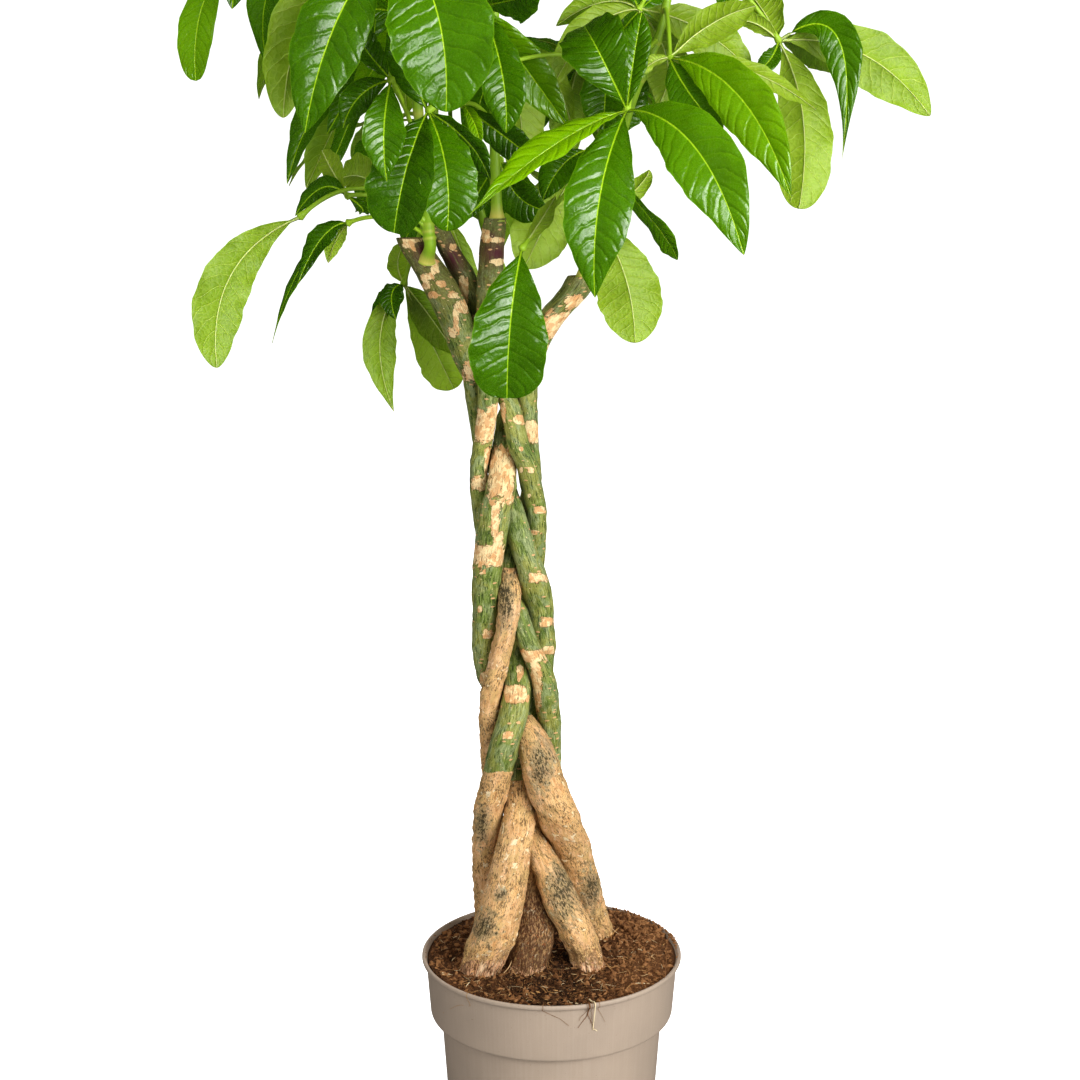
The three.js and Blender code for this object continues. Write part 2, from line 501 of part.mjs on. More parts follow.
// The rib of a leaflet runs from the hub over a point half way to the tip.
function leafletOf(base, middle, tip, face, half, taper, broad, draw) {
  const bend = middle.clone().multiplyScalar(2).addScaledVector(base, -0.5).addScaledVector(tip, -0.5);
  const along = tip.clone().sub(base).normalize();
  const across = new THREE.Vector3().crossVectors(along, face).normalize();
  const fold = THREE.MathUtils.degToRad(drawn(FOLD, draw));
  const wave = drawn(EDGE_WAVE, draw);
  const phase = 2 * Math.PI * draw();
  return { base, bend, tip, across, half, taper, broad, fold, wave, phase };
}

function bladeFrame(leaflet, u) {
  const { base, bend, tip } = leaflet;
  const spot = base
    .clone()
    .multiplyScalar((1 - u) ** 2)
    .addScaledVector(bend, 2 * u * (1 - u))
    .addScaledVector(tip, u * u);
  const along = bend
    .clone()
    .sub(base)
    .multiplyScalar(1 - u)
    .addScaledVector(tip.clone().sub(bend), u)
    .normalize();
  const across = leaflet.across.clone();
  across.addScaledVector(along, -across.dot(along)).normalize();
  const upward = new THREE.Vector3().crossVectors(across, along);
  return { spot, across, upward };
}

// Half the width along the rib: a slim stalk, a wedge, then a blunt or drawn-out tip.
const STALK_SHARE = 0.04;
const WEDGE = 0.95;
// Waves of the edges along a leaflet, and how far one edge's waves lag behind the other's.
const WAVES = 1.6;
const WAVE_LAG = 1.7;

function halfWidth(leaflet, u) {
  const v = Math.max(0, (u - STALK_SHARE) / (1 - STALK_SHARE));
  const widest = WEDGE / (WEDGE + leaflet.taper);
  const most = widest ** WEDGE * (1 - widest) ** leaflet.taper;
  const blade = (leaflet.half * v ** WEDGE * (1 - v) ** leaflet.taper) / most;
  return Math.max(blade, LEAFLET_STALK * (1 - u));
}

// A point of the blade: s runs from -1 at one edge to 1 at the other.
function bladePoint(leaflet, u, s) {
  const { spot, across, upward } = bladeFrame(leaflet, u);
  const out = s * halfWidth(leaflet, u);
  const share = out / leaflet.half;
  const ripple = Math.sin(2 * Math.PI * WAVES * u + leaflet.phase + (s > 0 ? WAVE_LAG : 0));
  const lift = Math.abs(out) * Math.sin(leaflet.fold) + leaflet.wave * share * share * ripple;
  return spot
    .addScaledVector(across, out * Math.cos(leaflet.fold))
    .addScaledVector(upward, lift);
}

// A leaflet's solid: two edges and a rib that stands a little proud on both faces. Its rings
// lie at these shares of the rib, which is stout on the leaflet's own stalk and thins to the tip.
const BROAD_STATIONS = [0, 0.06, 0.28, 0.53, 0.79, 1];
const SLIM_STATIONS = [0, 0.07, 0.4, 0.74, 1];
const STALK_END = 0.1;
const STALK_STOUT = 1.6;
const RIB_THINS = 0.3;

function leafletSolid(leaflet, extra) {
  const stations = leaflet.broad ? BROAD_STATIONS : SLIM_STATIONS;
  const rings = stations.length - 1;
  const skin = new THREE.SphereGeometry(1, 4, rings);
  const corner = skin.getAttribute("position");
  const row = 5;
  for (let i = 0; i < corner.count; i++) {
    const u = stations[Math.floor(i / row)];
    const side = (i % row) % 4;
    const { spot, across, upward } = bladeFrame(leaflet, u);
    const thick = (RIB_THICK / 2) * (u < STALK_END ? STALK_STOUT : 1 - RIB_THINS * u) + extra;
    const edge = side === 0 ? -1 : 1;
    const place =
      u === 0 || u === 1
        ? spot
        : side % 2
          ? spot.addScaledVector(upward, side === 1 ? thick : -thick)
          : bladePoint(leaflet, u, edge).addScaledVector(across, edge * extra);
    corner.setXYZ(i, place.x, place.y, place.z);
  }
  // Both faces are split alike, from an edge at one ring to the rib at the next.
  const faces = [];
  for (let ring = 0; ring < rings; ring++) {
    for (let side = 0; side < 4; side++) {
      const a = ring * row + side;
      const [b, c, d] = [a + 1, a + row, a + row + 1];
      const split = side % 2 ? [[a, b, c], [b, d, c]] : [[a, b, d], [a, d, c]];
      for (const [p, q, r] of split) {
        const poles = [p, q, r].filter((k) => k < row || k >= rings * row);
        if (poles.length < 2) faces.push(p, q, r);
      }
    }
  }
  skin.setIndex(faces);
  return solidOf(skin);
}

// The same leaflet turned about its hub by one of the bends.
function bent(leaflet, [swing, dip, share]) {
  const heading = leaflet.tip.clone().sub(leaflet.base).setZ(0).normalize();
  const level = new THREE.Vector3().crossVectors(heading, UP).normalize();
  const turn = new THREE.Quaternion()
    .setFromAxisAngle(UP, THREE.MathUtils.degToRad(swing))
    .multiply(new THREE.Quaternion().setFromAxisAngle(level, THREE.MathUtils.degToRad(-dip)));
  const moved = (spot) =>
    spot.clone().sub(leaflet.base).applyQuaternion(turn).multiplyScalar(share).add(leaflet.base);
  return {
    ...leaflet,
    bend: moved(leaflet.bend),
    tip: moved(leaflet.tip),
    across: leaflet.across.clone().applyQuaternion(turn),
    half: leaflet.half * Math.sqrt(share),
  };
}

// Leaves that are given leaflet by leaflet.
function frontLeaf({ shoot, at, hub, lift, leaflets }, curves, draw) {
  const centre = seen(hub);
  const parts = leaflets.map(([half, end, width, turn, taper]) => {
    const middle = seen(half);
    const tip = seen(end);
    const along = tip.clone().sub(centre).normalize();
    const facing = EYE.clone().sub(middle).normalize();
    facing.addScaledVector(along, -facing.dot(along)).normalize();
    const side = new THREE.Vector3().crossVectors(along, facing);
    const angle = THREE.MathUtils.degToRad(turn);
    const face = facing.multiplyScalar(Math.cos(angle)).addScaledVector(side, Math.sin(angle));
    return leafletOf(centre, middle, tip, face, width, taper, width >= BROAD, draw);
  });
  return { shoot, start: curves[shoot].getPoint(at), hub: centre, lift, leaflets: parts };
}

// Leaves that follow the rule: leaflets spread like the fingers of a hand and droop.
function ruledLeaf([shoot, at, way, rise, reach, size], curves, draw) {
  const start = curves[shoot].getPoint(at);
  const [turn, climb] = [THREE.MathUtils.degToRad(way), THREE.MathUtils.degToRad(rise)];
  const out = new THREE.Vector3(Math.cos(turn), Math.sin(turn), 0);
  const centre = start
    .clone()
    .addScaledVector(out, reach * Math.cos(climb))
    .addScaledVector(UP, reach * Math.sin(climb));
  const side = new THREE.Vector3().crossVectors(UP, out);
  const count = draw() < SIX_LEAFLETS ? 6 : 5;
  const opening = THREE.MathUtils.degToRad(drawn(OPENING, draw));
  const leaflets = [];
  for (let finger = 0; finger < count; finger++) {
    const angle = (finger / (count - 1) - 0.5) * opening + ASTRAY * (draw() - 0.5);
    const droop = THREE.MathUtils.degToRad(drawn(DROOP, draw));
    const length = size * (1 - OUTER_SHORTER * Math.abs(angle)) * drawn(LENGTH_SHARE, draw);
    const way = out.clone().multiplyScalar(Math.cos(angle)).addScaledVector(side, Math.sin(angle));
    const reachTo = (share, fall) =>
      centre
        .clone()
        .addScaledVector(way, length * share * Math.cos(fall))
        .addScaledVector(UP, -length * share * Math.sin(fall));
    const tip = reachTo(1, droop);
    const middle = reachTo(RIB_MIDDLE, droop * MIDDLE_DROOP);
    const face = UP.clone().addScaledVector(way, drawn(FACE_TURN, draw));
    const half = length * drawn(WIDTH_SHARE, draw);
    const taper = drawn(TAPER, draw);
    leaflets.push(leafletOf(centre, middle, tip, face, half, taper, false, draw));
  }
  return { shoot, start, hub: centre, lift: drawn(STALK_LIFT, draw), leaflets };
}

// A leaf stalk arches from the shoot to the hub, which is swollen where the leaflets meet.
const STALK_STEPS = [0, 0.35, 0.7];
const STALK_FOOT = 1.27;
const KNOB_PAST = 0.7;
const KNOB_END = 0.5;

function stalkSolid({ start, hub, lift }, extra) {
  const crown = start.clone().lerp(hub, 0.5).addScaledVector(UP, 2 * lift);
  const arch = new THREE.QuadraticBezierCurve3(start, crown, hub);
  const past = hub.clone().addScaledVector(arch.getTangent(1), KNOB * KNOB_PAST);
  const centres = STALK_STEPS.map((t) => arch.getPoint(t));
  const radii = [STALK * STALK_FOOT, STALK, STALK, KNOB, KNOB * KNOB_END];
  return limb([...centres, hub, past], radii.map((radius) => radius + extra), STALK_SIDES);
}

const stacks = spread(stemSlices());
const stems = stacks.map((stack) => makeStem(stack, 0));
const holes = stacks.map((stack) => {
  return makeStem(stack.filter(({ z }) => z < SOIL_TOP + HOLE_REACH), SEAT);
});
const curves = SHOOTS.map(
  ({ route }) => new THREE.CatmullRomCurve3(route.map((spot) => seen(spot)), false, "catmullrom", 0.5),
);
const draw = drawsFrom(SEED);
const leaves = [
  ...FRONT_LEAVES.map((leaf) => frontLeaf(leaf, curves, draw)),
  ...OTHER_LEAVES.map((leaf) => ruledLeaf(leaf, curves, draw)),
];

// Every placed piece, with the node that it belongs to and the box it fills.
const placed = [];

function overlaps(a, b) {
  return [0, 1, 2].every((k) => a.min[k] < b.max[k] && b.min[k] < a.max[k]);
}

function place(node, leaf, solid) {
  placed.push({ node, leaf, solid, box: solid.boundingBox() });
}

// How badly a piece meets what is placed: other nodes count most, and its own leaf not at all.
const OTHER_NODE = 100;
const TOUCHING = 1e-4;
const SAME_SPOT = 0.01;

function meets(node, leaf, solid) {
  const box = solid.boundingBox();
  let count = 0;
  for (const other of placed) {
    if (other.leaf === leaf || !overlaps(box, other.box)) continue;
    if (other.solid.intersect(solid).volume() > TOUCHING) count += other.node === node ? 1 : OTHER_NODE;
  }
  return count;
}

stems.forEach((stem, i) => place(`stem_${i + 1}`, null, stem));
const shootNames = SHOOTS.map((shoot, i) => `leafy_shoot_${i + 1}`);
SHOOTS.forEach(({ route, from, to, stub, seat }, i) => {
  const steps = Math.round(RINGS_PER_POINT * route.length);
  const centres = curves[i].getPoints(steps);
  const radii = centres.map((spot, k) => THREE.MathUtils.lerp(from, to, k / steps));
  const towards = new THREE.Vector3(...seat);
  centres[0].addScaledVector(towards, -SEAT_SEARCH);
  for (let round = 0; round < SEAT_ROUNDS; round++) {
    const gap = limb(centres, radii, SHOOT_SIDES).minGap(stems[stub], SEAT_REACH);
    centres[0].addScaledVector(towards, gap - SHOOT_SEAT);
  }
  place(shootNames[i], "stem", limb(centres, radii, SHOOT_SIDES));
});
leaves.forEach((leaf, i) => {
  place(shootNames[leaf.shoot], i, stalkSolid(leaf, 0));
});
leaves.forEach((leaf, i) => {
  const node = shootNames[leaf.shoot];
  for (const leaflet of leaf.leaflets) {
    let best = null;
    for (const bend of BENDS) {
      const tried = bent(leaflet, bend);
      const count = meets(node, i, leafletSolid(tried, LEAF_CLEAR));
      if (!best || count < best.count) best = { count, tried };
      if (count === 0) break;
    }
    if (best.count < OTHER_NODE) place(node, i, leafletSolid(best.tried, 0));
  }
});

// One body of all the pieces of a node, without the pockets that crossing leaflets close.
function joined(node) {
  const pieces = placed.filter((piece) => piece.node === node).map((piece) => piece.solid);
  const whole = wasm.Manifold.union(pieces).simplify(SAME_SPOT);
  const bodies = whole.decompose();
  return bodies.reduce((most, body) => (body.volume() > most.volume() ? body : most));
}

function material(color, roughness) {
  return new THREE.MeshStandardMaterial({ color, roughness, metalness: 0 });
}

const plastic = material(0x9c8a80, 0.55);
const peat = material(0x3b2618, 1);
const bark = material(0x7d7548, 0.85);
const leafGreen = material(0x4f8f16, 0.45);

const plant = new THREE.Group();

function add(name, solid, finish) {
  const mesh = new THREE.Mesh(geometryOf(solid), finish);
  mesh.name = name;
  plant.add(mesh);
}

add("pot", makePot(), plastic);
add("soil", makeSoil(holes), peat);
stems.forEach((stem, i) => add(`stem_${i + 1}`, stem, bark));
shootNames.forEach((name) => add(name, joined(name), leafGreen));

export default plant;
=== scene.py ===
"""Potted money tree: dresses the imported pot, peat, braided stems and leafy shoots."""

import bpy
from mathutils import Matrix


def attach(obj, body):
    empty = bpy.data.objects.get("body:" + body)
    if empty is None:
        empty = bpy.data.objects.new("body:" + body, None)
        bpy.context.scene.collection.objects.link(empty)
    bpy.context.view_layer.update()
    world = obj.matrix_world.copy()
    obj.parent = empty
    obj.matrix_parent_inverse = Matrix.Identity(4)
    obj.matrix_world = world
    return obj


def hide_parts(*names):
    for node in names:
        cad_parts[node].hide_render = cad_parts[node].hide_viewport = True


bl_info = {
    "name": "Potted Money Tree",
    "version": (1, 0, 0),
    "blender": (4, 5, 0),
    "location": "View3D > Sidebar > Money Tree",
    "description": "Builds the detailed pot, peat, bark, leaves and studio of a potted money tree",
    "category": "Add Mesh",
}

import math
import random
from types import SimpleNamespace

import bpy
import numpy as np
from mathutils import Vector, kdtree, noise
from mathutils.bvhtree import BVHTree

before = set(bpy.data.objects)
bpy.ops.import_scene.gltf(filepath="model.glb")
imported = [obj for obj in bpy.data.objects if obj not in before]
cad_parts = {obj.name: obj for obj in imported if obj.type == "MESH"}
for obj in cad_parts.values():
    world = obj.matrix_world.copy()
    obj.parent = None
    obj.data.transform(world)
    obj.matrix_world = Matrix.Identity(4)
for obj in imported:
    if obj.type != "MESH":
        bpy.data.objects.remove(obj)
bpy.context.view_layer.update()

MM = 0.001
BODY = "root"
STEMS = 5
SHOOTS = 6

# The plant is laid out on a square sheet as it is seen from the front: millimetres from the
# sheet's left and top edges, and a depth, which is the place's own Y.
SHEET = 1080
SHEET_MIDDLE = np.array([-12.1, 0.0, 699.0])
SIGHT_FALL = math.radians(12.1)
EYE_DISTANCE = 1986.0
SENSOR = 36.0
ACROSS = np.array([1.0, 0.0, 0.0])
AHEAD = np.array([0.0, math.cos(SIGHT_FALL), -math.sin(SIGHT_FALL)])
ABOVE = np.array([0.0, math.sin(SIGHT_FALL), math.cos(SIGHT_FALL)])
EYE = SHEET_MIDDLE - EYE_DISTANCE * AHEAD
UP = np.array([0.0, 0.0, 1.0])
TURN = 2 * math.pi

# The leafy shoots' stems, from the stub up: places on the sheet, then the radii at both ends.
SHOOT_LINES = [
    (
        [
            (432, 257, -34), (428, 225, -30), (426, 190, -26), (418, 110, -34), (408, 20, -50),
            (398, -80, -70), (392, -160, -80),
        ],
        6, 3.2,
    ),
    (
        [
            (437, 211, 12), (434, 175, 20), (434, 100, 34), (436, 10, 48), (432, -90, 60),
            (424, -170, 66),
        ],
        5.5, 3,
    ),
    (
        [
            (505, 278, 26), (496, 255, 34), (484, 225, 40), (474, 180, 46), (466, 110, 58),
            (470, 20, 84), (478, -80, 106), (482, -150, 112),
        ],
        5, 3,
    ),
    (
        [
            (497, 210, -2), (495, 160, 2), (494, 90, 4), (495, 10, 2), (500, -90, -6),
            (508, -190, -16),
        ],
        5.5, 3.2,
    ),
    (
        [
            (584, 266, -6), (592, 235, -2), (605, 190, 0), (620, 140, 0), (634, 95, -4),
            (649, 60, -6), (662, 24, -4), (676, -50, -2), (684, -130, 0),
        ],
        6, 3.2,
    ),
    (
        [
            (588, 268, 6), (594, 240, 30), (602, 190, 58), (612, 120, 88), (618, 40, 112),
            (616, -50, 122), (608, -120, 120),
        ],
        5, 3,
    ),
]
# The stem whose stub bears each shoot.
SHOOT_STUBS = (3, 5, 4, 1, 2, 2)

# Leaves that show from the front: shoot, how far up it, hub, arch of the stalk, and leaflets as
# place half way along the rib, tip, half width, turn about the rib, taper, tone (0 deep green,
# 1 yellow green) and, where it isn't the usual one, how far the end is drawn out.
# The tones are partly each leaflet's own colour and partly painted shade and light: low for
# leaflets in shade, high for well lit ones.
FRONT_LEAVES = [
    (0, 0.9, (395, -65, -150), 14, [
        ((436, 8, -196), (446, 112, -196), 46, 0, 0.6, 0.42, 0.04),
        ((338, 18, -186), (305, 133, -186), 32, 8, 0.6, 0.3, 0.22),
        ((314, 0, -150), (283, 118, -150), 27, 158, 0.6, 0.45, 0),
        ((286, -40, -120), (266, 62, -120), 22, 30, 0.6, 0.35, 0.2),
        ((470, -70, -190), (520, -20, -200), 30, 0, 0.6, 0.4),
        ((420, -130, -170), (440, -190, -170), 26, 40, 0.6, 0.4),
    ]),
    (0, 0.74, (250, -62, -40), 30, [
        ((205, -2, -60), (196, 81, -66), 18, 30, 0.45, 0.75, 0),
        ((240, -40, -90), (232, 9, -110), 18, 0, 0.7, 0.2),
        ((208, -60, -20), (172, -30, 0), 22, 40, 0.6, 0.5),
        ((230, -100, -10), (205, -150, 10), 24, 30, 0.6, 0.5),
        ((262, -110, -60), (270, -160, -70), 22, 30, 0.6, 0.4),
    ]),
    (0, 0.5, (368, 58, 20), 10, [
        ((320, 102, 6), (287, 184, -4), 16, 30, 0.8, 0.25),
        ((338, 118, 26), (306, 188, 16), 20, 150, 0.7, 0.5),
        ((350, 120, 2), (321, 186, -8), 11, 30, 0.8, 0.35),
        ((350, 92, -14), (327, 134, -30), 13, 0, 0.8, 0.35),
        ((376, 10, 30), (372, -50, 40), 22, 40, 0.6, 0.4),
    ]),
    (0, 0.6, (403, 14, -74), 6, [
        ((380, 58, -92), (353, 99, -100), 16, 30, 0.8, 0.8),
        ((352, 14, -70), (312, 52, -76), 20, 30, 0.7, 0.4),
        ((370, -22, -60), (338, -60, -60), 20, 20, 0.6, 0.4),
    ]),
    (0, 0.38, (391, 80, -152), 10, [
        ((384, 130, -172), (387, 182, -172), 20, 0, 0.7, 0.35, 0.35),
        ((360, 96, -140), (343, 128, -140), 14, 10, 0.8, 0.2),
        ((366, 50, -150), (346, 20, -150), 16, 30, 0.7, 0.3),
    ]),
    (4, 0.56, (428, 111, -120), 34, [
        ((411, 64, -112), (402, 4, -106), 22, 0, 0.7, 0.1),
        ((407, 167, -160), (394, 233, -160), 31, 4, 0.5, 0.15, 0),
        ((446, 168, -156), (447, 231, -156), 27, -12, 0.6, 0.35, 0),
        ((468, 142, -128), (490, 180, -128), 14, 40, 0.8, 0.1),
        ((446, 66, -100), (466, 20, -90), 20, 20, 0.7, 0.25),
    ]),
    (3, 0.3, (462, 104, -66), 8, [
        ((504, 136, -70), (534, 158, -74), 17, 20, 0.7, 0.15),
        ((474, 122, -84), (481, 147, -90), 7, 0, 0.9, 0.9),
        ((455, 60, -60), (452, 10, -60), 18, 20, 0.7, 0.4),
    ]),
    (3, 0.52, (482, 6, -62), 12, [
        ((502, 72, -92), (506, 133, -92), 21, 0, 0.7, 0.35),
        ((525, 64, -58), (571, 128, -62), 21, 14, 0.8, 0.7),
        ((522, -40, -60), (560, -70, -60), 24, 20, 0.6, 0.4),
        ((468, -50, -110), (452, -110, -130), 24, 10, 0.6, 0.4),
        ((512, 0, -110), (540, -6, -150), 20, 20, 0.7, 0.4),
    ]),
    (2, 0.5, (508, 44, 46), 14, [
        ((519, 104, 36), (524, 178, 30), 26, 170, 0.6, 0.9),
        ((548, 70, 44), (572, 128, 40), 18, 150, 0.7, 0.6),
        ((484, 90, 44), (472, 146, 40), 20, 20, 0.7, 0.3),
    ]),
    (4, 0.84, (639, 9, 6), 6, [
        ((591, 30, -6), (551, 91, -10), 20, 150, 0.6, 0.5, 0.2),
        ((602, 2, 10), (556, 26, 10), 15, 150, 0.7, 0.45),
        ((699, 24, -16), (758, 64, -26), 24, 162, 0.6, 0.45, 0.1),
        ((667, 60, 30), (658, 106, 30), 22, 175, 0.6, 0.8),
        ((646, 38, -8), (650, 62, -10), 7, 170, 0.8, 0.7),
        ((612, -40, 0), (580, -80, 0), 24, 20, 0.6, 0.4),
        ((668, -46, 20), (700, -96, 40), 26, 20, 0.6, 0.4),
    ]),
    (4, 0.7, (627, 110, -92), 12, [
        ((600, 54, -112), (584, 26, -64), 32, 0, 0.42, 0.3),
        ((634, 58, -92), (642, 12, -76), 15, -10, 0.7, 0.35),
        ((553, 146, -136), (470, 214, -176), 21, 52, 0.8, 1, 0.45),
        ((600, 196, -146), (595, 298, -146), 32, 0, 0.7, 0.4, 0.28),
        ((694, 146, -166), (744, 255, -182), 32, 0, 0.55, 0.58, 0.28),
    ]),
    (5, 0.58, (612, 44, 60), 8, [
        ((606, 88, 30), (604, 130, 20), 25, 0, 0.5, 0.35),
        ((662, 60, 70), (706, 96, 70), 22, 160, 0.7, 0.5),
        ((640, 10, 90), (676, -20, 110), 20, 20, 0.7, 0.4),
    ]),
    (4, 0.78, (670, 58, -62), 10, [
        ((739, 96, -124), (791, 197, -156), 26, 6, 0.7, 0.75, 0.25),
        ((690, 94, -90), (723, 133, -106), 21, -16, 0.7, 0.3),
        ((746, 70, -34), (816, 110, -46), 14, 140, 0.8, 0.6),
        ((654, 62, -70), (636, 77, -72), 7, 150, 0.8, 0.8),
        ((712, 24, -60), (756, 6, -60), 20, 150, 0.7, 0.5),
    ]),
    (4, 0.88, (779, 41, 20), 16, [
        ((838, 38, 6), (842, 160, -6), 20, 0, 0.6, 0.35, 0.7),
        ((862, 54, 40), (930, 116, 46), 29, 165, 0.6, 0.45),
        ((803, 118, 60), (799, 209, 60), 30, 175, 0.5, 0.65, 0),
        ((764, 12, 44), (745, -12, 60), 22, 165, 0.7, 0.5),
        ((757, 24, 10), (737, 22, 0), 10, 150, 0.8, 0.5),
        ((812, 50, 90), (834, 74, 110), 16, 165, 0.8, 0.4),
        ((770, 60, 0), (757, 70, -10), 10, 20, 0.8, 0.35),
    ]),
    (4, 0.34, (522, 249, -120), 10, [
        ((511, 318, -146), (507, 398, -140), 36, 0, 0.42, 0.3, 0),
        ((540, 222, -104), (556, 196, -96), 9, 150, 0.8, 0.7),
    ]),
    (5, 0.32, (588, 150, 60), 10, [
        ((556, 204, 52), (524, 268, 46), 32, 165, 0.5, 1, 0.05),
        ((562, 166, 36), (543, 200, 30), 18, 20, 0.7, 0.35),
        ((640, 232, 56), (657, 274, 52), 14, 50, 0.7, 0.6),
        ((624, 112, 70), (646, 78, 80), 18, 30, 0.7, 0.4),
    ]),
    (5, 0.22, (597, 222, 52), 6, [
        ((625, 276, 46), (635, 343, 40), 33, 172, 0.5, 0.55, 0.05),
        ((640, 190, 66), (656, 170, 76), 10, 150, 0.8, 0.6),
    ]),
    (0, 0.17, (300, 217, -84), 30, [
        ((231, 275, -96), (217, 368, -110), 25, 172, 0.55, 0.35, 0.05),
    ]),
    (0, 0.14, (347, 196, -56), 12, [
        ((322, 188, -50), (295, 216, -40), 12, 30, 0.8, 0.2),
        ((362, 208, -60), (359, 214, -56), 7, 20, 0.9, 0.3),
        ((330, 166, -40), (322, 150, -30), 12, 150, 0.8, 0.5),
    ]),
    (1, 0.2, (378, 188, 30), 8, [
        ((360, 176, 20), (341, 178, 10), 22, 150, 0.6, 0.55),
        ((396, 196, 60), (410, 206, 84), 14, 160, 0.7, 0.6),
    ]),
    (0, 0.1, (348, 223, -10), 12, [
        ((322, 238, -16), (298, 284, -22), 12, 30, 0.8, 0.15),
        ((336, 240, 0), (328, 263, 4), 10, 160, 0.8, 0.8),
        ((304, 262, 10), (272, 343, 16), 10, 60, 0.9, 0.3, 0.4),
    ]),
    (1, 0.08, (404, 284, 48), 8, [
        ((428, 314, 58), (456, 354, 50), 19, 170, 0.6, 0.3),
        ((432, 344, 74), (454, 389, 70), 22, 172, 0.5, 1, 0),
        ((392, 294, 30), (396, 320, 20), 13, 20, 0.8, 0.15),
        ((380, 338, 36), (394, 412, 30), 18, 168, 0.6, 0.4, 0.4),
        ((386, 304, 50), (368, 338, 50), 12, 30, 0.8, 0.15),
        ((398, 262, 66), (406, 242, 70), 13, 165, 0.8, 0.7),
    ]),
    (1, 0.14, (446, 216, 60), 6, [
        ((464, 262, 62), (473, 319, 60), 13, 160, 0.7, 0.9),
        ((480, 200, 80), (504, 214, 96), 22, 20, 0.6, 0.4),
        ((420, 220, 90), (404, 244, 110), 22, 20, 0.6, 0.4),
    ]),
    (3, 0.12, (500, 160, 26), 4, [
        ((518, 196, 28), (548, 210, 24), 21, 20, 0.6, 0.2),
        ((480, 190, 30), (466, 220, 30), 14, 20, 0.7, 0.35),
    ]),
]

# Leaves placed by rule: shoot, how far up it, way, rise, length of the stalk, leaflet length.
OTHER_LEAVES = [
    (0, 0.88, 165, 35, 100, 150), (0, 0.96, 240, 50, 80, 160), (0, 1, 60, 66, 70, 140),
    (1, 0.3, 110, 10, 120, 160), (1, 0.52, 140, 25, 110, 165), (1, 0.66, 95, 30, 110, 160),
    (1, 0.84, 170, 45, 90, 150), (1, 1, 120, 64, 70, 150), (2, 0.42, 85, 10, 110, 160),
    (2, 0.62, 60, 25, 110, 160), (2, 0.8, 115, 40, 100, 160), (2, 1, 60, 66, 80, 150),
    (3, 0.7, 260, 35, 100, 160), (3, 0.84, 20, 40, 90, 150), (3, 1, 290, 72, 70, 160),
    (4, 0.96, 335, 45, 110, 160), (4, 1, 260, 60, 90, 160), (4, 0.92, 40, 40, 110, 160),
    (5, 0.48, 110, 34, 110, 160), (5, 0.62, 75, 25, 120, 160), (5, 0.8, 25, 38, 110, 160),
    (5, 1, 80, 64, 80, 150),
]

# Leaflets that are rolled about their rib: leaf and leaflet, counted from 0, and degrees.
ROLLED = {(5, 1): 16}

# Bends a leaflet may have taken to hang clear: swing, dip and share of its length.
BENDS = [
    (0, 0, 1), (0, 10, 1), (0, -10, 1), (12, 0, 1), (-12, 0, 1), (10, 16, 1), (-10, 16, 1),
    (0, 24, 1), (0, -22, 1), (24, 4, 1), (-24, 4, 1), (0, 0, 0.78), (18, 20, 0.78),
    (-18, 20, 0.78), (0, 34, 0.8), (0, -30, 0.8), (34, 0, 0.75), (-34, 0, 0.75), (0, 0, 0.58),
    (24, 26, 0.58), (-24, 26, 0.58), (0, -36, 0.58), (0, 44, 0.58),
]

# Leaves: radii of the leaf stalk, of the knob at its end and of a leaflet's own stalk, thickness
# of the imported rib, half width from which a leaflet is broad, share of its length that is stalk,
# and how quickly it widens from there.
SEED = 20241
STALK = 2.1
KNOB = 4.6
LEAFLET_STALK = 1.5
RIB_THICK = 1.5
BROAD = 18
STALK_SHARE = 0.04
WEDGE = 0.95
# Waves of a leaflet's two edges, and how far the right one's run behind.
EDGE_WAVES = 1.6
EDGE_LATE = 1.7
# Pairs of side veins; thickness of the blade, and how much more it is at its foot.
VEIN_PAIRS = 12.5
BLADE = 0.42
BLADE_FOOT = 2.1
BROAD_STATIONS = (0, 0.06, 0.28, 0.53, 0.79, 1)
SLIM_STATIONS = (0, 0.07, 0.4, 0.74, 1)


def seen(place):
    """The point in millimetres of a place on the sheet."""
    across, down, depth = place
    ray = (
        AHEAD * EYE_DISTANCE
        + ACROSS * (across - SHEET / 2)
        + ABOVE * (SHEET / 2 - down)
    )
    return EYE + ray * ((depth - EYE[1]) / ray[1])


def on_sheet(points):
    """Sheet places (across, down) of points in millimetres."""
    way = points - EYE
    far = way @ AHEAD
    across = SHEET / 2 + EYE_DISTANCE * (way @ ACROSS) / far
    down = SHEET / 2 - EYE_DISTANCE * (way @ ABOVE) / far
    return across, down


def unit(v):
    return v / np.linalg.norm(v, axis=-1, keepdims=True)


def bell(x):
    """1 at the middle, falling off to both sides."""
    return np.exp(-(x**2))


def draws_from(seed):
    """Even draws between 0 and 1 that come out the same each time."""
    state = seed

    def draw():
        nonlocal state
        state = (state * 48271) % 2147483647
        return state / 2147483647

    return draw


def spline(keys, t, tension=0.5):
    """Points of a smooth curve through keys at shares t of it."""
    keys = np.asarray(keys, float)
    last = len(keys) - 1
    place = np.clip(np.asarray(t, float), 0, 1) * last
    at = np.minimum(place.astype(int), last - 1)
    w = (place - at)[:, None]
    before = np.vstack([2 * keys[0] - keys[1], keys, 2 * keys[-1] - keys[-2]])
    a, b, c, d = before[at], before[at + 1], before[at + 2], before[at + 3]
    m0, m1 = tension * (c - a), tension * (d - b)
    return (
        (2 * w**3 - 3 * w**2 + 1) * b
        + (w**3 - 2 * w**2 + w) * m0
        + (3 * w**2 - 2 * w**3) * c
        + (w**3 - w**2) * m1
    )


def arch(start, crown, end, t):
    """Points of a quadratic arch."""
    t = np.asarray(t, float)[:, None]
    return start * (1 - t) ** 2 + crown * 2 * t * (1 - t) + end * t**2


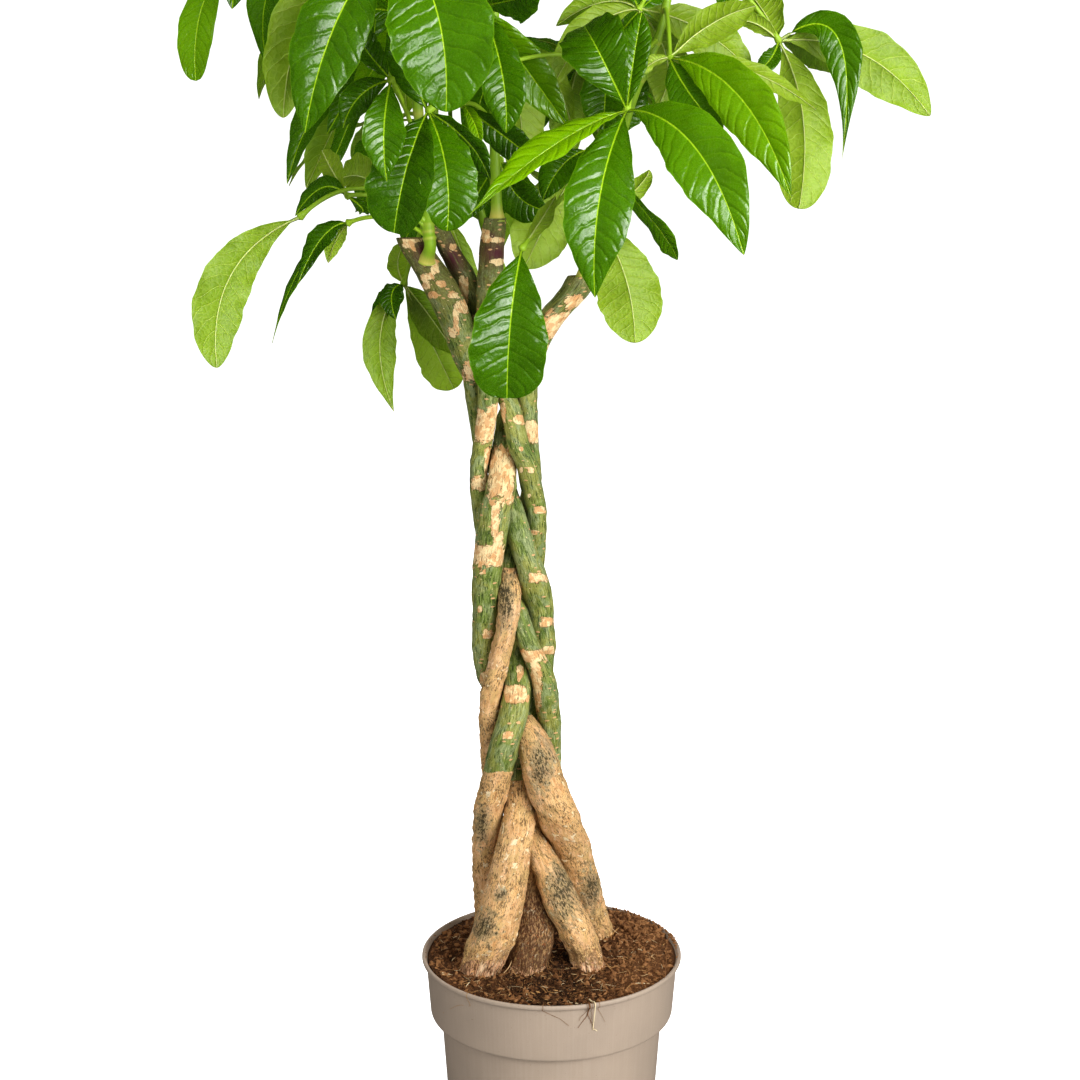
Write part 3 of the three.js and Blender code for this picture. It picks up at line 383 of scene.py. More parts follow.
def ripple(points, size, seed=0.0):
    """Soft noise, about -1 to 1, at points in millimetres; size is its grain in millimetres."""
    return np.array([noise.noise(Vector(p) / size + Vector((seed, seed, 0))) for p in points])


class Skin:
    """Collects closed tubes and makes one mesh object of them."""

    def __init__(self):
        self.points, self.faces, self.places = [], [], []
        self.marks, self.total = {}, 0

    def tube(self, rings, around=None, along=None, sheet=False, **marks):
        """Adds a tube through rings of points; a sheet's two faces are cut the same way."""
        rings = np.asarray(rings, float)
        count, size = rings.shape[:2]
        around = np.linspace(0, 1, size + 1) if around is None else np.asarray(around, float)
        along = np.linspace(0, 1, count) if along is None else np.asarray(along, float)
        index = self.total + np.arange(count * size).reshape(count, size)
        turn = np.roll(index, -1, axis=1)
        quads = np.stack([index[:-1], turn[:-1], turn[1:], index[1:]], axis=-1)
        if sheet:
            quads[:, size // 2 :] = np.roll(quads[:, size // 2 :], -1, axis=-1)
        self.points.append(rings.reshape(-1, 3))
        self.faces += quads.reshape(-1, 4).tolist()
        left, right, low, high = (
            np.broadcast_to(edge, (count - 1, size))
            for edge in (around[:-1], around[1:], along[:-1, None], along[1:, None])
        )
        corners = [(left, low), (right, low), (right, high), (left, high)]
        spread = np.stack([np.stack(c, axis=-1) for c in corners], axis=2)
        if sheet:
            spread[:, size // 2 :] = np.roll(spread[:, size // 2 :], -1, axis=2)
        self.places.append(spread.reshape(-1, 2))
        for end, ring in ((0, index[0][::-1]), (-1, index[-1])):
            self.faces.append(ring.tolist())
            spots = around[:-1][::-1] if end == 0 else around[:-1]
            self.places.append(np.stack([spots, np.full(size, along[end])], axis=-1))
        for name in dict.fromkeys([*self.marks, *marks]):
            filled = self.marks.setdefault(name, [np.zeros(self.total)])
            value = np.asarray(marks.get(name, 0.0), float)
            filled.append(np.broadcast_to(value, (count, size)).reshape(-1))
        self.total += count * size

    def build(self, name, material, sharp=50):
        """Makes the object, in metres."""
        mesh = bpy.data.meshes.new(name)
        mesh.from_pydata((np.vstack(self.points) * MM).tolist(), [], self.faces)
        layer = mesh.uv_layers.new(name="surface")
        layer.data.foreach_set("uv", np.vstack(self.places).astype(np.float32).reshape(-1))
        for mark, values in self.marks.items():
            attribute = mesh.attributes.new(mark, "FLOAT", "POINT")
            attribute.data.foreach_set("value", np.concatenate(values).astype(np.float32))
        mesh.polygons.foreach_set("use_smooth", np.ones(len(mesh.polygons), bool))
        mesh.set_sharp_from_angle(angle=math.radians(sharp))
        mesh.materials.append(material)
        mesh.validate()
        return placed(name, mesh)


def placed(name, data):
    """An object of the scene that holds some data."""
    made = bpy.data.objects.new(name, data)
    bpy.context.scene.collection.objects.link(made)
    return made


def settle(piece, slot, *nodes):
    """Ties a piece to the plant and hides the solids that it stands for; slot is not used."""
    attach(piece, BODY)
    if nodes:
        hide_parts(*nodes)
    return piece


def rings_along(line, radii, sides):
    """Round rings square to a line of points."""
    line = np.asarray(line, float)
    radii = np.broadcast_to(np.asarray(radii, float), (len(line),))
    ahead = unit(np.gradient(line, axis=0))
    side = np.cross(ahead[0], UP if abs(ahead[0][2]) < 0.8 else ACROSS)
    angles = np.arange(sides) * TURN / sides
    rings = []
    for spot, way, radius in zip(line, ahead, radii):
        side = unit(side - way * (side @ way))
        other = np.cross(way, side)
        ring = np.outer(np.cos(angles), side) + np.outer(np.sin(angles), other)
        rings.append(spot + radius * ring)
    return np.array(rings)


class Wire:
    """A socket of a shader tree; arithmetic on it adds Math nodes."""

    def __init__(self, finish, socket):
        self.finish, self.socket = finish, socket

    def math(self, operation, *values):
        settings = {"operation": operation}
        return self.finish.node("ShaderNodeMath", settings, dict(enumerate(values)))

    def __add__(self, other):
        return self.math("ADD", self, other)

    def __radd__(self, other):
        return self.math("ADD", other, self)

    def __sub__(self, other):
        return self.math("SUBTRACT", self, other)

    def __rsub__(self, other):
        return self.math("SUBTRACT", other, self)

    def __mul__(self, other):
        return self.math("MULTIPLY", self, other)

    def __rmul__(self, other):
        return self.math("MULTIPLY", other, self)

    def __abs__(self):
        return self.math("ABSOLUTE", self)

    def fraction(self):
        return self.math("FRACT", self)

    def over(self, low, high):
        """0 below low, 1 above high, smooth between; falls where high is under low."""
        settings = {"interpolation_type": "SMOOTHSTEP", "clamp": True}
        inputs = {"Value": self, "From Min": low, "From Max": high}
        return self.finish.node("ShaderNodeMapRange", settings, inputs)


class Tree:
    """A shader tree, and one way to add any node to it."""

    def __init__(self, tree):
        self.nodes, self.links = tree.nodes, tree.links

    def node(self, kind, settings=None, inputs=None, output=0):
        made = self.nodes.new(kind)
        for key, value in (settings or {}).items():
            setattr(made, key, value)
        for key, value in (inputs or {}).items():
            self.put(made.inputs[key], value)
        return Wire(self, made.outputs[output])

    def put(self, socket, value):
        if isinstance(value, Wire):
            self.links.new(value.socket, socket)
        elif socket.type == "RGBA":
            socket.default_value = (*value, 1.0)
        else:
            socket.default_value = value


class Finish(Tree):
    """A material on the Principled shader."""

    def __init__(self, name, **constants):
        self.material = bpy.data.materials.new(name)
        self.material.use_nodes = True
        super().__init__(self.material.node_tree)
        self.shader = next(n for n in self.nodes if n.type == "BSDF_PRINCIPLED")
        for socket, value in constants.items():
            self.shader.inputs[socket.replace("_", " ")].default_value = value

    def set(self, **values):
        for socket, value in values.items():
            self.put(self.shader.inputs[socket.replace("_", " ")], value)
        return self.material

    def mark(self, name):
        return self.node("ShaderNodeAttribute", {"attribute_name": name}, output="Fac")

    def surface(self):
        """Across and along shares of the UV map."""
        place = self.node("ShaderNodeUVMap", {"uv_map": "surface"})
        split = self.node("ShaderNodeSeparateXYZ", None, {0: place})
        return split, Wire(self, split.socket.node.outputs[1])

    def spot(self):
        """The place on the object, in metres."""
        return self.node("ShaderNodeTexCoord", output="Object")

    def stretched(self, x, y, z):
        """The place on the object, scaled along each axis."""
        inputs = {0: self.spot(), 1: (x, y, z)}
        return self.node("ShaderNodeVectorMath", {"operation": "MULTIPLY"}, inputs)

    def joined(self, x, y, z=0.0):
        return self.node("ShaderNodeCombineXYZ", None, {0: x, 1: y, 2: z})

    def grain(self, vector, scale, detail=3.0, rough=0.55, warp=0.0):
        inputs = {"Vector": vector, "Scale": scale, "Detail": detail}
        inputs.update({"Roughness": rough, "Distortion": warp})
        return self.node("ShaderNodeTexNoise", None, inputs)

    def cells(self, vector, scale, feature="F1", output="Distance"):
        inputs = {"Vector": vector, "Scale": scale}
        return self.node("ShaderNodeTexVoronoi", {"feature": feature}, inputs, output)

    def plates(self, vector, scale):
        """A level between 0 and 1 for each of the cells."""
        tint = self.cells(vector, scale, output="Color")
        return self.node("ShaderNodeSeparateColor", None, {0: tint})

    def blend(self, share, low, high):
        settings = {"data_type": "RGBA", "clamp_factor": True}
        return self.node("ShaderNodeMix", settings, {0: share, 6: low, 7: high}, output=2)

    def layered(self, colour, *layers):
        """A colour with others laid over it in turn, each by its share."""
        for share, over in layers:
            colour = self.blend(share, colour, over)
        return colour

    def bump(self, height):
        """Normals of a surface whose height is in millimetres."""
        inputs = {"Height": height, "Strength": 1.0, "Distance": MM}
        return self.node("ShaderNodeBump", None, inputs)


def leaf_finish(c):
    """Leaf blades: rib and side veins over a puckered surface, glossy above, matt below."""
    f = Finish(
        "leaf_blade", Specular_IOR_Level=0.5, Subsurface_Weight=0.25, Subsurface_Scale=0.003,
        Subsurface_Radius=(0.7, 1.0, 0.1),
    )
    side, up = f.surface()
    under, tone = f.mark("under"), f.mark("tone")
    off = abs(side)
    far = off * f.mark("wide")
    # side veins leave the rib forwards and run on along the edge
    course = up * VEIN_PAIRS - off - off * off * 0.6 + f.mark("shift")
    course = course + side.math("GREATER_THAN", side, 0.0) * 0.5
    drift = f.grain(f.spot(), 45.0, 2.0)
    beat = abs((course + drift * 0.9).fraction() - 0.5) * 2.0
    edge = off.over(1.0, 0.84)
    vein = beat.over(0.9, 0.99) * edge * off.over(0.0, 0.12)
    between = (beat * beat).over(1.0, 0.15) * edge
    rib = (far + up * 0.05).over(0.12, 0.06)
    by_rib = far.over(0.6, 0.1)
    net = f.cells(f.spot(), 190.0, "DISTANCE_TO_EDGE")
    mottle = f.grain(f.spot(), 42.0, 4.0, 0.6)
    wrinkle = f.grain(f.spot(), 75.0, 2.0, 0.5, 0.8)
    pores = f.grain(f.spot(), 700.0, 2.0, 0.6)
    # tone is partly the leaf's own colour and partly painted shade and light for the front
    # leaflets
    top = f.layered(
        f.blend(tone.over(0.0, 0.55), c.deep, c.green),
        (tone.over(0.45, 1.0), c.young),
        (mottle.over(0.35, 0.75) * 0.25, c.fresh),
        (by_rib * 0.25, c.fresh),
        (mottle.over(0.55, 0.3) * 0.2, c.deep),
        (net.over(0.1, 0.0) * 0.12, c.fresh),
        (vein * (0.05 + tone * 0.3), c.vein),
        (rib, c.rib),
    )
    low = f.layered(
        f.blend(tone.over(0.1, 0.6), c.under_deep, c.under),
        (tone.over(0.5, 1.0), c.under_pale),
        (mottle.over(0.35, 0.8) * 0.3, c.under_pale),
        (mottle.over(0.55, 0.3) * 0.3, c.under_deep),
        (net.over(0.08, 0.0) * 0.14, c.under_vein),
        (vein * 0.6, c.under_vein),
        (rib, c.under_rib),
    )
    margin = off.over(0.965, 1.0) * 0.4
    both = f.blend(margin, f.blend(under, top, low), c.vein)
    pucker = net.over(0.0, 0.3)
    height = between * 0.7 + pucker * 0.08 + wrinkle * 0.8 - rib * 0.3
    lower = vein * 0.35 + rib * 0.8 - between * 0.3 - pucker * 0.2 + wrinkle * 0.5
    relief = height * (1 - under) + lower * under
    rough = 0.22 + pores.over(0.3, 0.8) * 0.05 + mottle * 0.06 + under * 0.28
    return f.set(Base_Color=both, Roughness=rough, Normal=f.bump(relief))


def stalk_finish(c):
    """Leaf stalks and green shoots: smooth young bark with pale streaks."""
    f = Finish("green_stalk", Specular_IOR_Level=0.4)
    side, up = f.surface()
    tone = f.mark("tone")
    streak = f.grain(f.joined(side * 9.0, up * 1.6, tone * 5.0), 4.0, 3.0)
    fine = f.grain(f.spot(), 600.0, 2.0)
    colour = f.layered(
        f.blend(tone, c.stalk_deep, c.stalk),
        (streak.over(0.4, 0.8) * 0.4, c.rib),
        (fine.over(0.6, 0.7) * 0.25, c.stalk_deep),
        (f.mark("scar") * (0.6 + streak * 0.5), c.scar),
    )
    normal = f.bump(streak * 0.3 + fine * 0.15)
    return f.set(Base_Color=colour, Roughness=0.36 + fine.over(0.3, 0.8) * 0.14, Normal=normal)


def bark_finish(c):
    """Bark: green with fine hairlines above, golden, flecked cork low down, torn tan scars."""
    f = Finish("bark", Specular_IOR_Level=0.3)
    low, scar, foot, murk = f.mark("low"), f.mark("scar"), f.mark("foot"), f.mark("murk")
    purple, cut, brown = f.mark("purple"), f.mark("cut"), f.mark("brown")
    fray, seam, aged = f.mark("fray"), f.mark("seam"), f.mark("aged")
    x, y, z = f.mark("gx"), f.mark("gy"), f.mark("gz")
    own = f.mark("shift")
    # places in centimetres on each stem, drawn out along it by different amounts
    here = f.joined(x, y, z + own)
    drawn = f.joined(x, y, z * 0.14 + own)
    dashed = f.joined(x, y, z * 0.4 + own)
    hair = f.grain(drawn, 7.5, 4.0, 0.75, 0.35)
    strand = f.grain(drawn, 2.6, 3.0, 0.6, 0.4)
    dash = f.grain(dashed, 6.5, 4.0, 0.7)
    fleck = f.grain(dashed, 12.0, 3.0, 0.65)
    cloud = f.grain(here, 0.45, 4.0, 0.6, 0.5)
    tint = f.grain(f.joined(x, y, z * 0.6 - own), 0.8, 3.0, 0.6, 0.6)
    blotch = f.grain(here, 1.5, 3.0, 0.6, 0.4)
    torn = f.grain(here, 4.5, 3.0, 0.6)
    grit = f.grain(here, 12.0, 3.0, 0.7)
    dots = f.cells(here, 2.3).over(0.16, 0.07) * f.plates(here, 2.3).over(0.55, 0.6)
    level = f.joined(x, y, z * 2.6 + own)
    some = f.plates(level, 0.9).over(0.5, 0.55)
    bars = (f.cells(level, 0.9) - torn * 0.25).over(0.12, 0.06) * some
    torn_way = f.joined(x + torn * 0.12, y + grit * 0.06, z * 0.8 + torn * 0.12 + own)
    plate, shard = f.plates(torn_way, 2.9), f.plates(torn_way, 1.6)
    green = f.layered(
        f.blend(strand.over(0.38, 0.62), c.bark_dark, c.bark_green),
        (cloud.over(0.42, 0.56) * 0.8, c.bark_olive),
        (tint.over(0.48, 0.6) * 0.85, c.bark_grey),
        (hair.over(0.54, 0.66) * 0.65, c.bark_light),
        (hair.over(0.47, 0.38), c.bark_crack),
        (fleck.over(0.57, 0.64) * 0.5, c.bark_crack),
        (grit.over(0.6, 0.68) * 0.5, c.bark_light),
        # darker higher up the stems, where they run up among the leaves
        (aged * (0.35 + torn.over(0.4, 0.6) * 0.4), c.bark_aged),
        (purple * strand.over(0.2, 0.5), c.purple),
    )
    tan = f.layered(
        f.blend(blotch.over(0.42, 0.58), c.tan, c.tan_light),
        ((shard - torn * 0.2).over(0.62, 0.66) * 0.75, c.tan_dark),
        ((plate * 0.5 + torn * 0.5).over(0.62, 0.68) * 0.8, c.tan_light),
        (hair.over(0.45, 0.37) * 0.85, c.tan_crack),
        (fleck.over(0.6, 0.67) * 0.6, c.tan_crack),
    )
    crowded = cloud * 0.3 + blotch * 0.24 - 0.28
    flaked = shard.over(0.8, 0.82) * (blotch + torn * 0.2).over(0.66, 0.69)
    dim = (murk + (blotch - 0.5) * 1.2 + (torn - 0.5) * 0.8).over(0.5, 0.8)
    shade = (murk * 0.36 + blotch * 0.2 + dash * 0.8 + fleck * 0.3).over(0.95, 1.02)
    worn = (foot * 0.45 + torn * 0.6 + strand * 0.4).over(0.86, 0.96)
    fibres = f.layered(
        f.blend(hair.over(0.42, 0.56), c.foot, c.fray),
        (strand.over(0.5, 0.62) * 0.7, c.fray_pale),
        (dash.over(0.56, 0.62) * 0.7, c.foot),
    )
    cork = f.layered(
        f.blend(strand.over(0.38, 0.62), c.cork_deep, c.cork),
        (cloud.over(0.4, 0.58) * 0.8, c.cork_gold),
        (tint.over(0.5, 0.62) * 0.6, c.cork_olive),
        ((blotch * 0.5 + tint * 0.5).over(0.44, 0.36) * 0.6, c.cork_brown),
        (hair.over(0.56, 0.68) * 0.5, c.cork_pale),
        ((dash + crowded).over(0.52, 0.6) * 0.75, c.cork_dark),
        ((fleck + crowded).over(0.54, 0.62) * 0.7, c.cork_dark),
        (flaked * 0.9, c.cork_pale),
        (dim * 0.6, c.cork_grey),
        (shade * 0.85, c.cork_murk),
        (worn * 0.6, c.foot),
        (brown * (0.4 + dash.over(0.35, 0.56) * 0.6), c.foot),
        ((brown * 0.7 + foot * 0.3) * torn.over(0.62, 0.66) * 0.5, c.cork_rust),
        ((fray + (torn - 0.5) * 1.4 + (blotch - 0.5) * 1.6).over(0.5, 0.56), fibres),
    )
    ragged = (blotch - 0.5) * 0.4 + (torn - 0.5) * 0.4 + (shard - 0.5) * 0.3
    below = (low + ragged * 0.25).over(0.48, 0.52)
    marked = (scar + ragged).over(0.48, 0.51)
    rim = (scar + ragged).over(0.42, 0.48)
    wood = f.blend(grit.over(0.3, 0.7), c.cut_dark, c.cut)
    colour = f.layered(
        f.blend(below, green, cork),
        (bars * (1 - below), c.tan),
        (dots * (1 - below), c.tan_light),
        (rim * 0.7, c.tan_crack),
        (marked, tan),
        (cut, wood),
        # painted shade: near-black colour where the stems press on one another
        (seam * (0.7 + torn * 0.3), c.seam),
    )
    relief = strand * 0.5 + hair * 0.7 + grit * 0.2 + marked * 0.4 + (bars + dots) * 0.25
    relief = relief + below * (dash * 0.8 + torn * 0.6 + flaked * 0.3) + fray * strand * 1.4
    rough = 0.46 + grit * 0.15 + below * 0.15 + marked * 0.15
    return f.set(Base_Color=colour, Roughness=rough, Normal=f.bump(relief))


def pot_finish(c):
    """Moulded matt plastic with a fine grain, faint flow marks and stray dust of peat."""
    f = Finish("pot_plastic", Specular_IOR_Level=0.42)
    side, up = f.surface()
    spot = f.spot()
    broad = f.grain(spot, 14.0, 3.0)
    grit = f.grain(spot, 1500.0, 2.0, 0.7)
    flow = f.grain(f.joined(side * 320.0, up * 6.0), 1.0, 3.0, 0.6)
    scuff = f.grain(f.joined(side * 60.0, up * 9.0), 1.0, 5.0, 0.75, 1.2).over(0.68, 0.76)
    speck = f.grain(spot, 420.0, 2.0, 0.5).over(0.74, 0.78)
    dust = f.mark("dust") * f.grain(spot, 240.0, 4.0, 0.7).over(0.58, 0.75)
    colour = f.layered(
        f.blend(broad.over(0.3, 0.7), c.pot_deep, c.pot),
        (grit.over(0.3, 0.7) * 0.16, c.pot_pale),
        (flow.over(0.4, 0.7) * 0.12, c.pot_pale),
        (scuff * 0.2, c.pot_pale),
        (speck * 0.55, c.peat),
        (dust * 0.6, c.peat),
    )
    rough = 0.46 + grit * 0.14 - scuff * 0.06
    return f.set(Base_Color=colour, Roughness=rough, Normal=f.bump(grit * 0.12 + broad * 0.3))


def peat_finish(c):
    """Fibrous peat, from nearly black to orange brown."""
    f = Finish("peat", Specular_IOR_Level=0.25)
    spot = f.spot()
    lump = f.grain(spot, 130.0, 5.0, 0.7)
    fibre = f.grain(f.stretched(1.0, 0.3, 1.0), 620.0, 4.0, 0.75, 2.0)
    thread = f.grain(f.stretched(0.25, 1.0, 1.0), 900.0, 3.0, 0.7, 1.0)
    speck = f.grain(spot, 1100.0, 3.0, 0.7)
    tone = f.mark("tone")
    colour = f.layered(
        f.blend((lump * 0.6 + tone * 0.5).over(0.28, 0.6), c.peat_dark, c.peat),
        (fibre.over(0.5, 0.7) * 0.8, c.peat_fibre),
        (thread.over(0.6, 0.7) * 0.6, c.straw_dark),
        (speck.over(0.66, 0.74) * 0.6, c.straw),
        # tone holds paler peat and painted light towards the sides
        (tone.over(0.4, 1.0) * 0.8, c.peat_fibre),
    )
    normal = f.bump(lump * 1.6 + fibre * 1.2 + speck * 0.5)
    return f.set(Base_Color=colour, Roughness=0.82 + speck * 0.1, Normal=normal)


def straw_finish(c):
    """Bits of straw, fibre and root, from brown to bleached."""
    f = Finish("straw", Specular_IOR_Level=0.3)
    side, up = f.surface()
    tone = f.mark("tone")
    streak = f.grain(f.joined(side * 3.0, up * 2.0, tone * 20.0), 3.0, 3.0)
    colour = f.layered(
        f.blend(tone.over(0.0, 0.5), c.straw_dark, c.straw),
        (tone.over(0.5, 1.0), c.straw_pale),
        (streak.over(0.4, 0.7) * 0.5, c.peat_fibre),
    )
    return f.set(Base_Color=colour, Roughness=0.75, Normal=f.bump(streak * 0.3))


def floor_finish(colour, glow):
    """A pale studio floor that stays nearly white."""
    f = Finish("studio_floor", Specular_IOR_Level=0.2, Roughness=0.7, Emission_Strength=glow)
    tint = f.grain(f.spot(), 1.5, 2.0)
    colour = f.blend(tint * 0.04, colour, (0.8, 0.8, 0.8))
    return f.set(Base_Color=colour, Emission_Color=colour)


def turn_about(axis, degrees):
    """Rotation matrix about a unit axis."""
    a = math.radians(degrees)
    x, y, z = axis
    cross = np.array([[0, -z, y], [z, 0, -x], [-y, x, 0]])
    return np.eye(3) + math.sin(a) * cross + (1 - math.cos(a)) * cross @ cross


class Leaflet:
    """One blade: a rib that bends from the hub to the tip, and a width, fold and wave."""

    def __init__(self, base, middle, tip, face, half, taper, broad, draw, tone, point=0.12):
        self.base, self.tip, self.half, self.taper = base, tip, half, taper
        self.point = point
        self.bend = 2 * middle - base / 2 - tip / 2
        self.across = unit(np.cross(unit(tip - base), face))
        self.broad, self.tone, self.seen = broad, tone, tone is not None
        self.fold = math.radians(5 + 11 * draw())
        self.wave = 1 + 2.6 * draw()
        self.phase = TURN * draw()
        self.roll = 0

    def bent(self, swing, dip, share):
        """The same leaflet turned about its hub."""
        heading = (self.tip - self.base) * (1, 1, 0)
        level = unit(np.cross(unit(heading), UP))
        turn = turn_about(UP, swing) @ turn_about(level, -dip)
        other = Leaflet.__new__(Leaflet)
        other.__dict__.update(self.__dict__)
        other.bend = self.base + turn @ (self.bend - self.base) * share
        other.tip = self.base + turn @ (self.tip - self.base) * share
        other.across = turn @ self.across
        other.half = self.half * math.sqrt(share)
        return other

    def rib(self, u):
        """Spots on the rib, with the ways across the blade and up from its face."""
        spot = arch(self.base, self.bend, self.tip, u)
        u = np.asarray(u, float)[:, None]
        along = unit((self.bend - self.base) * (1 - u) + (self.tip - self.bend) * u)
        across = unit(self.across - along * (along @ self.across)[:, None])
        return spot, across, np.cross(across, along)

    def width(self, u, point=0.0):
        """Half the width along the rib; point draws the end out to a tip."""
        u = np.asarray(u, float)
        v = np.clip((u - STALK_SHARE) / (1 - STALK_SHARE), 0, 1)
        widest = WEDGE / (WEDGE + self.taper)
        most = widest**WEDGE * (1 - widest) ** self.taper
        late = np.clip((v - 0.48) / 0.52, 0, 1)
        power = self.taper + point * late * late * (3 - 2 * late)
        blade = self.half * v**WEDGE * (1 - v) ** power / most
        return np.maximum(blade, LEAFLET_STALK * (1 - u))

    def corners(self):
        """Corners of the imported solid, past its first ring."""
        stations = BROAD_STATIONS if self.broad else SLIM_STATIONS
        u = np.array(stations[2:-1], float)
        spot, across, upward = self.rib(u)
        out = self.width(u)
        share = out / self.half
        thick = (RIB_THICK / 2 * (1 - 0.3 * u))[:, None] * upward
        found = [spot + thick, spot - thick, self.tip[None]]
        for side, late in ((-1, 0.0), (1, EDGE_LATE)):
            wave = np.sin(TURN * EDGE_WAVES * u + self.phase + late)
            lift = out * math.sin(self.fold) + self.wave * share**2 * wave
            edge = side * out * math.cos(self.fold)
            found.append(spot + edge[:, None] * across + lift[:, None] * upward)
        return np.vstack(found)

    def skin(self, skin, chance, vein_shift, fine):
        """Adds the blade, finely divided."""
        count, columns = (52, 9) if fine else (30, 6)
        t = np.linspace(0, 1, count)
        u = 0.5 - 0.5 * np.cos(math.pi * (0.1 + 0.86 * t))
        u = (u - u[0]) / (u[-1] - u[0])
        row = np.linspace(0, 1, columns) ** 1.2
        s = np.sort(np.concatenate([-row, row[1:], (-0.035, 0.035)]))
        left = s < 0
        spot, across, upward = self.rib(u)
        width = np.maximum(self.width(u, self.point), 0.12)
        ends = np.clip(7 * u * (1 - u), 0, 1)
        flat = (np.clip(width / (0.4 * self.half), 0, 1) * ends)[:, None]
        # each margin swells and draws in a little on its own
        sides = []
        for _ in range(2):
            beats, late = 3.2 + 3 * chance.random(), TURN * chance.random()
            swell = 0.03 * np.sin(TURN * beats * u + late)
            swell += 0.014 * np.sin(TURN * 2.3 * beats * u + 2 * late)
            sides.append(width * (1 + swell * ends))
        out = s * np.where(left, sides[0][:, None], sides[1][:, None])
        share = out / self.half
        late = np.where(s > 0, EDGE_LATE, 0.0)
        wave = np.sin(TURN * EDGE_WAVES * u[:, None] + self.phase + late)
        lift = np.abs(out) * math.sin(self.fold) + self.wave * share**2 * wave
        size = min(1.0, self.half / 26)
        strong = (0.9 + 1.5 * chance.random()) * size
        beats = 4.2 + 2.2 * chance.random()
        turns = [TURN * chance.random() for _ in range(2)]
        small = np.where(
            left,
            np.sin(TURN * beats * u[:, None] + turns[0]),
            np.sin(TURN * (beats + 0.8) * u[:, None] + turns[1]),
        )
        lift = lift + strong * np.abs(s) ** 2.2 * small * flat
        arched = (0.8 + 1.6 * chance.random()) * size
        lift = lift + arched * np.sin(math.pi * np.abs(s)) * flat
        top = (
            spot[:, None]
            + (out * math.cos(self.fold))[..., None] * across[:, None]
            + lift[..., None] * upward[:, None]
        )
        uneven = ripple(top.reshape(-1, 3), 19.0, self.phase).reshape(lift.shape)
        course = VEIN_PAIRS * u[:, None] - np.abs(s) - 0.6 * s**2
        course = course + vein_shift + np.where(s > 0, 0.5, 0)
        quilt = 0.34 * np.cos(TURN * course) * np.clip(6 * np.abs(s), 0, 1)
        quilt = quilt * np.clip(1.1 - np.abs(s), 0, 1) if fine else 0.0
        change = (0.8 * uneven * size - quilt) * flat
        top = top + change[..., None] * upward[:, None]
        groove = bell(s / 0.05) * np.clip(1.15 - u, 0, 1)[:, None]
        thick = BLADE + BLADE_FOOT * bell(u / 0.045)
        low = top - (thick[:, None] + 0.8 * groove)[..., None] * upward[:, None]
        top = top - (0.3 * groove)[..., None] * upward[:, None]
        rings = np.concatenate([top, low[:, ::-1]], axis=1)
        under = np.concatenate([np.zeros(len(s)), np.ones(len(s))])
        around = np.concatenate([s, s[::-1], s[:1]])
        marks = {"under": under, "tone": self.tone, "shift": vein_shift}
        skin.tube(rings, around, u, True, wide=width[:, None] / 10, **marks)


def front_leaf(row, lines, draw):
    """A leaf whose leaflets are given one by one."""
    shoot, at, hub, lift, rows = row
    centre = seen(hub)
    leaflets = []
    for half_way, end, half, turn, taper, tone, *point in rows:
        middle, tip = seen(half_way), seen(end)
        along = unit(tip - centre)
        facing = unit(EYE - middle)
        facing = unit(facing - along * (facing @ along))
        side = np.cross(along, facing)
        angle = math.radians(turn)
        face = facing * math.cos(angle) + side * math.sin(angle)
        leaflets.append(
            Leaflet(centre, middle, tip, face, half, taper, half >= BROAD, draw, tone, *point)
        )
    return shoot, at, lines[shoot](at), centre, lift, leaflets


def ruled_leaf(row, lines, draw):
    """A leaf whose leaflets spread like the fingers of a hand and droop."""
    shoot, at, way, rise, reach, size = row
    start = lines[shoot](at)
    turn, climb = math.radians(way), math.radians(rise)
    out = np.array([math.cos(turn), math.sin(turn), 0])
    centre = start + out * reach * math.cos(climb) + UP * reach * math.sin(climb)
    side = np.cross(UP, out)
    count = 6 if draw() < 0.6 else 5
    opening = math.radians(225 + 50 * draw())
    leaflets = []
    for finger in range(count):
        angle = (finger / (count - 1) - 0.5) * opening + 0.2 * (draw() - 0.5)
        droop = math.radians(22 + 34 * draw())
        length = size * (1 - 0.12 * abs(angle)) * (0.9 + 0.22 * draw())
        finger_way = out * math.cos(angle) + side * math.sin(angle)

        def reach_to(share, fall):
            return centre + length * share * (finger_way * math.cos(fall) - UP * math.sin(fall))

        tip, middle = reach_to(1, droop), reach_to(0.53, droop * 0.5)
        face = UP + finger_way * (0.2 + 0.3 * draw())
        half = length * (0.15 + 0.035 * draw())
        taper = 0.5 + 0.3 * draw()
        leaflets.append(Leaflet(centre, middle, tip, face, half, taper, False, draw, None))
    return shoot, at, start, centre, 4 + 10 * draw(), leaflets


def curve_of(keys):
    """The smooth curve through keys that a shoot follows."""
    keys = np.asarray(keys, float)
    return lambda t: spline(keys, [t])[0]


# How near a leaflet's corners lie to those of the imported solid.
CORNER_REACH = 0.06 * MM


def taken_bend(leaflet, tree):
    """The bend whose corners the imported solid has, or None where the leaflet was left out."""
    best, most = None, 2
    for bend in BENDS:
        tried = leaflet.bent(*bend)
        found = sum(tree.find(Vector(p * MM))[2] < CORNER_REACH for p in tried.corners())
        if found > most:
            best, most = tried, found
    return best


# The pot's outline from the middle of its foot: radius, height, and how far a corner is rounded.
POT_OUTSIDE = [
    (0.4, 0, 0), (102, 0, 2), (109.6, 110, 4), (115.2, 194, 0.8), (116.2, 195.6, 0.4),
    (125.4, 196.8, 0.7), (126.4, 198.8, 1), (130.5, 253, 1), (131.3, 254.6, 0.5),
    (134, 254.9, 0.6), (135, 256.6, 0.9), (134.8, 259.2, 0.9), (133.5, 260, 0.5),
    (131.8, 259.6, 0.5), (130.6, 257.8, 0),
]
POT_INSIDE = [
    (130.6, 257.8, 0), (128.4, 252, 1), (123.6, 201, 2), (112.8, 197.6, 2), (99.4, 3, 2),
    (0.4, 3, 0),
]
RIM = 135.0
POT_HEIGHT = 260.0
SOIL_TOP = 255.5
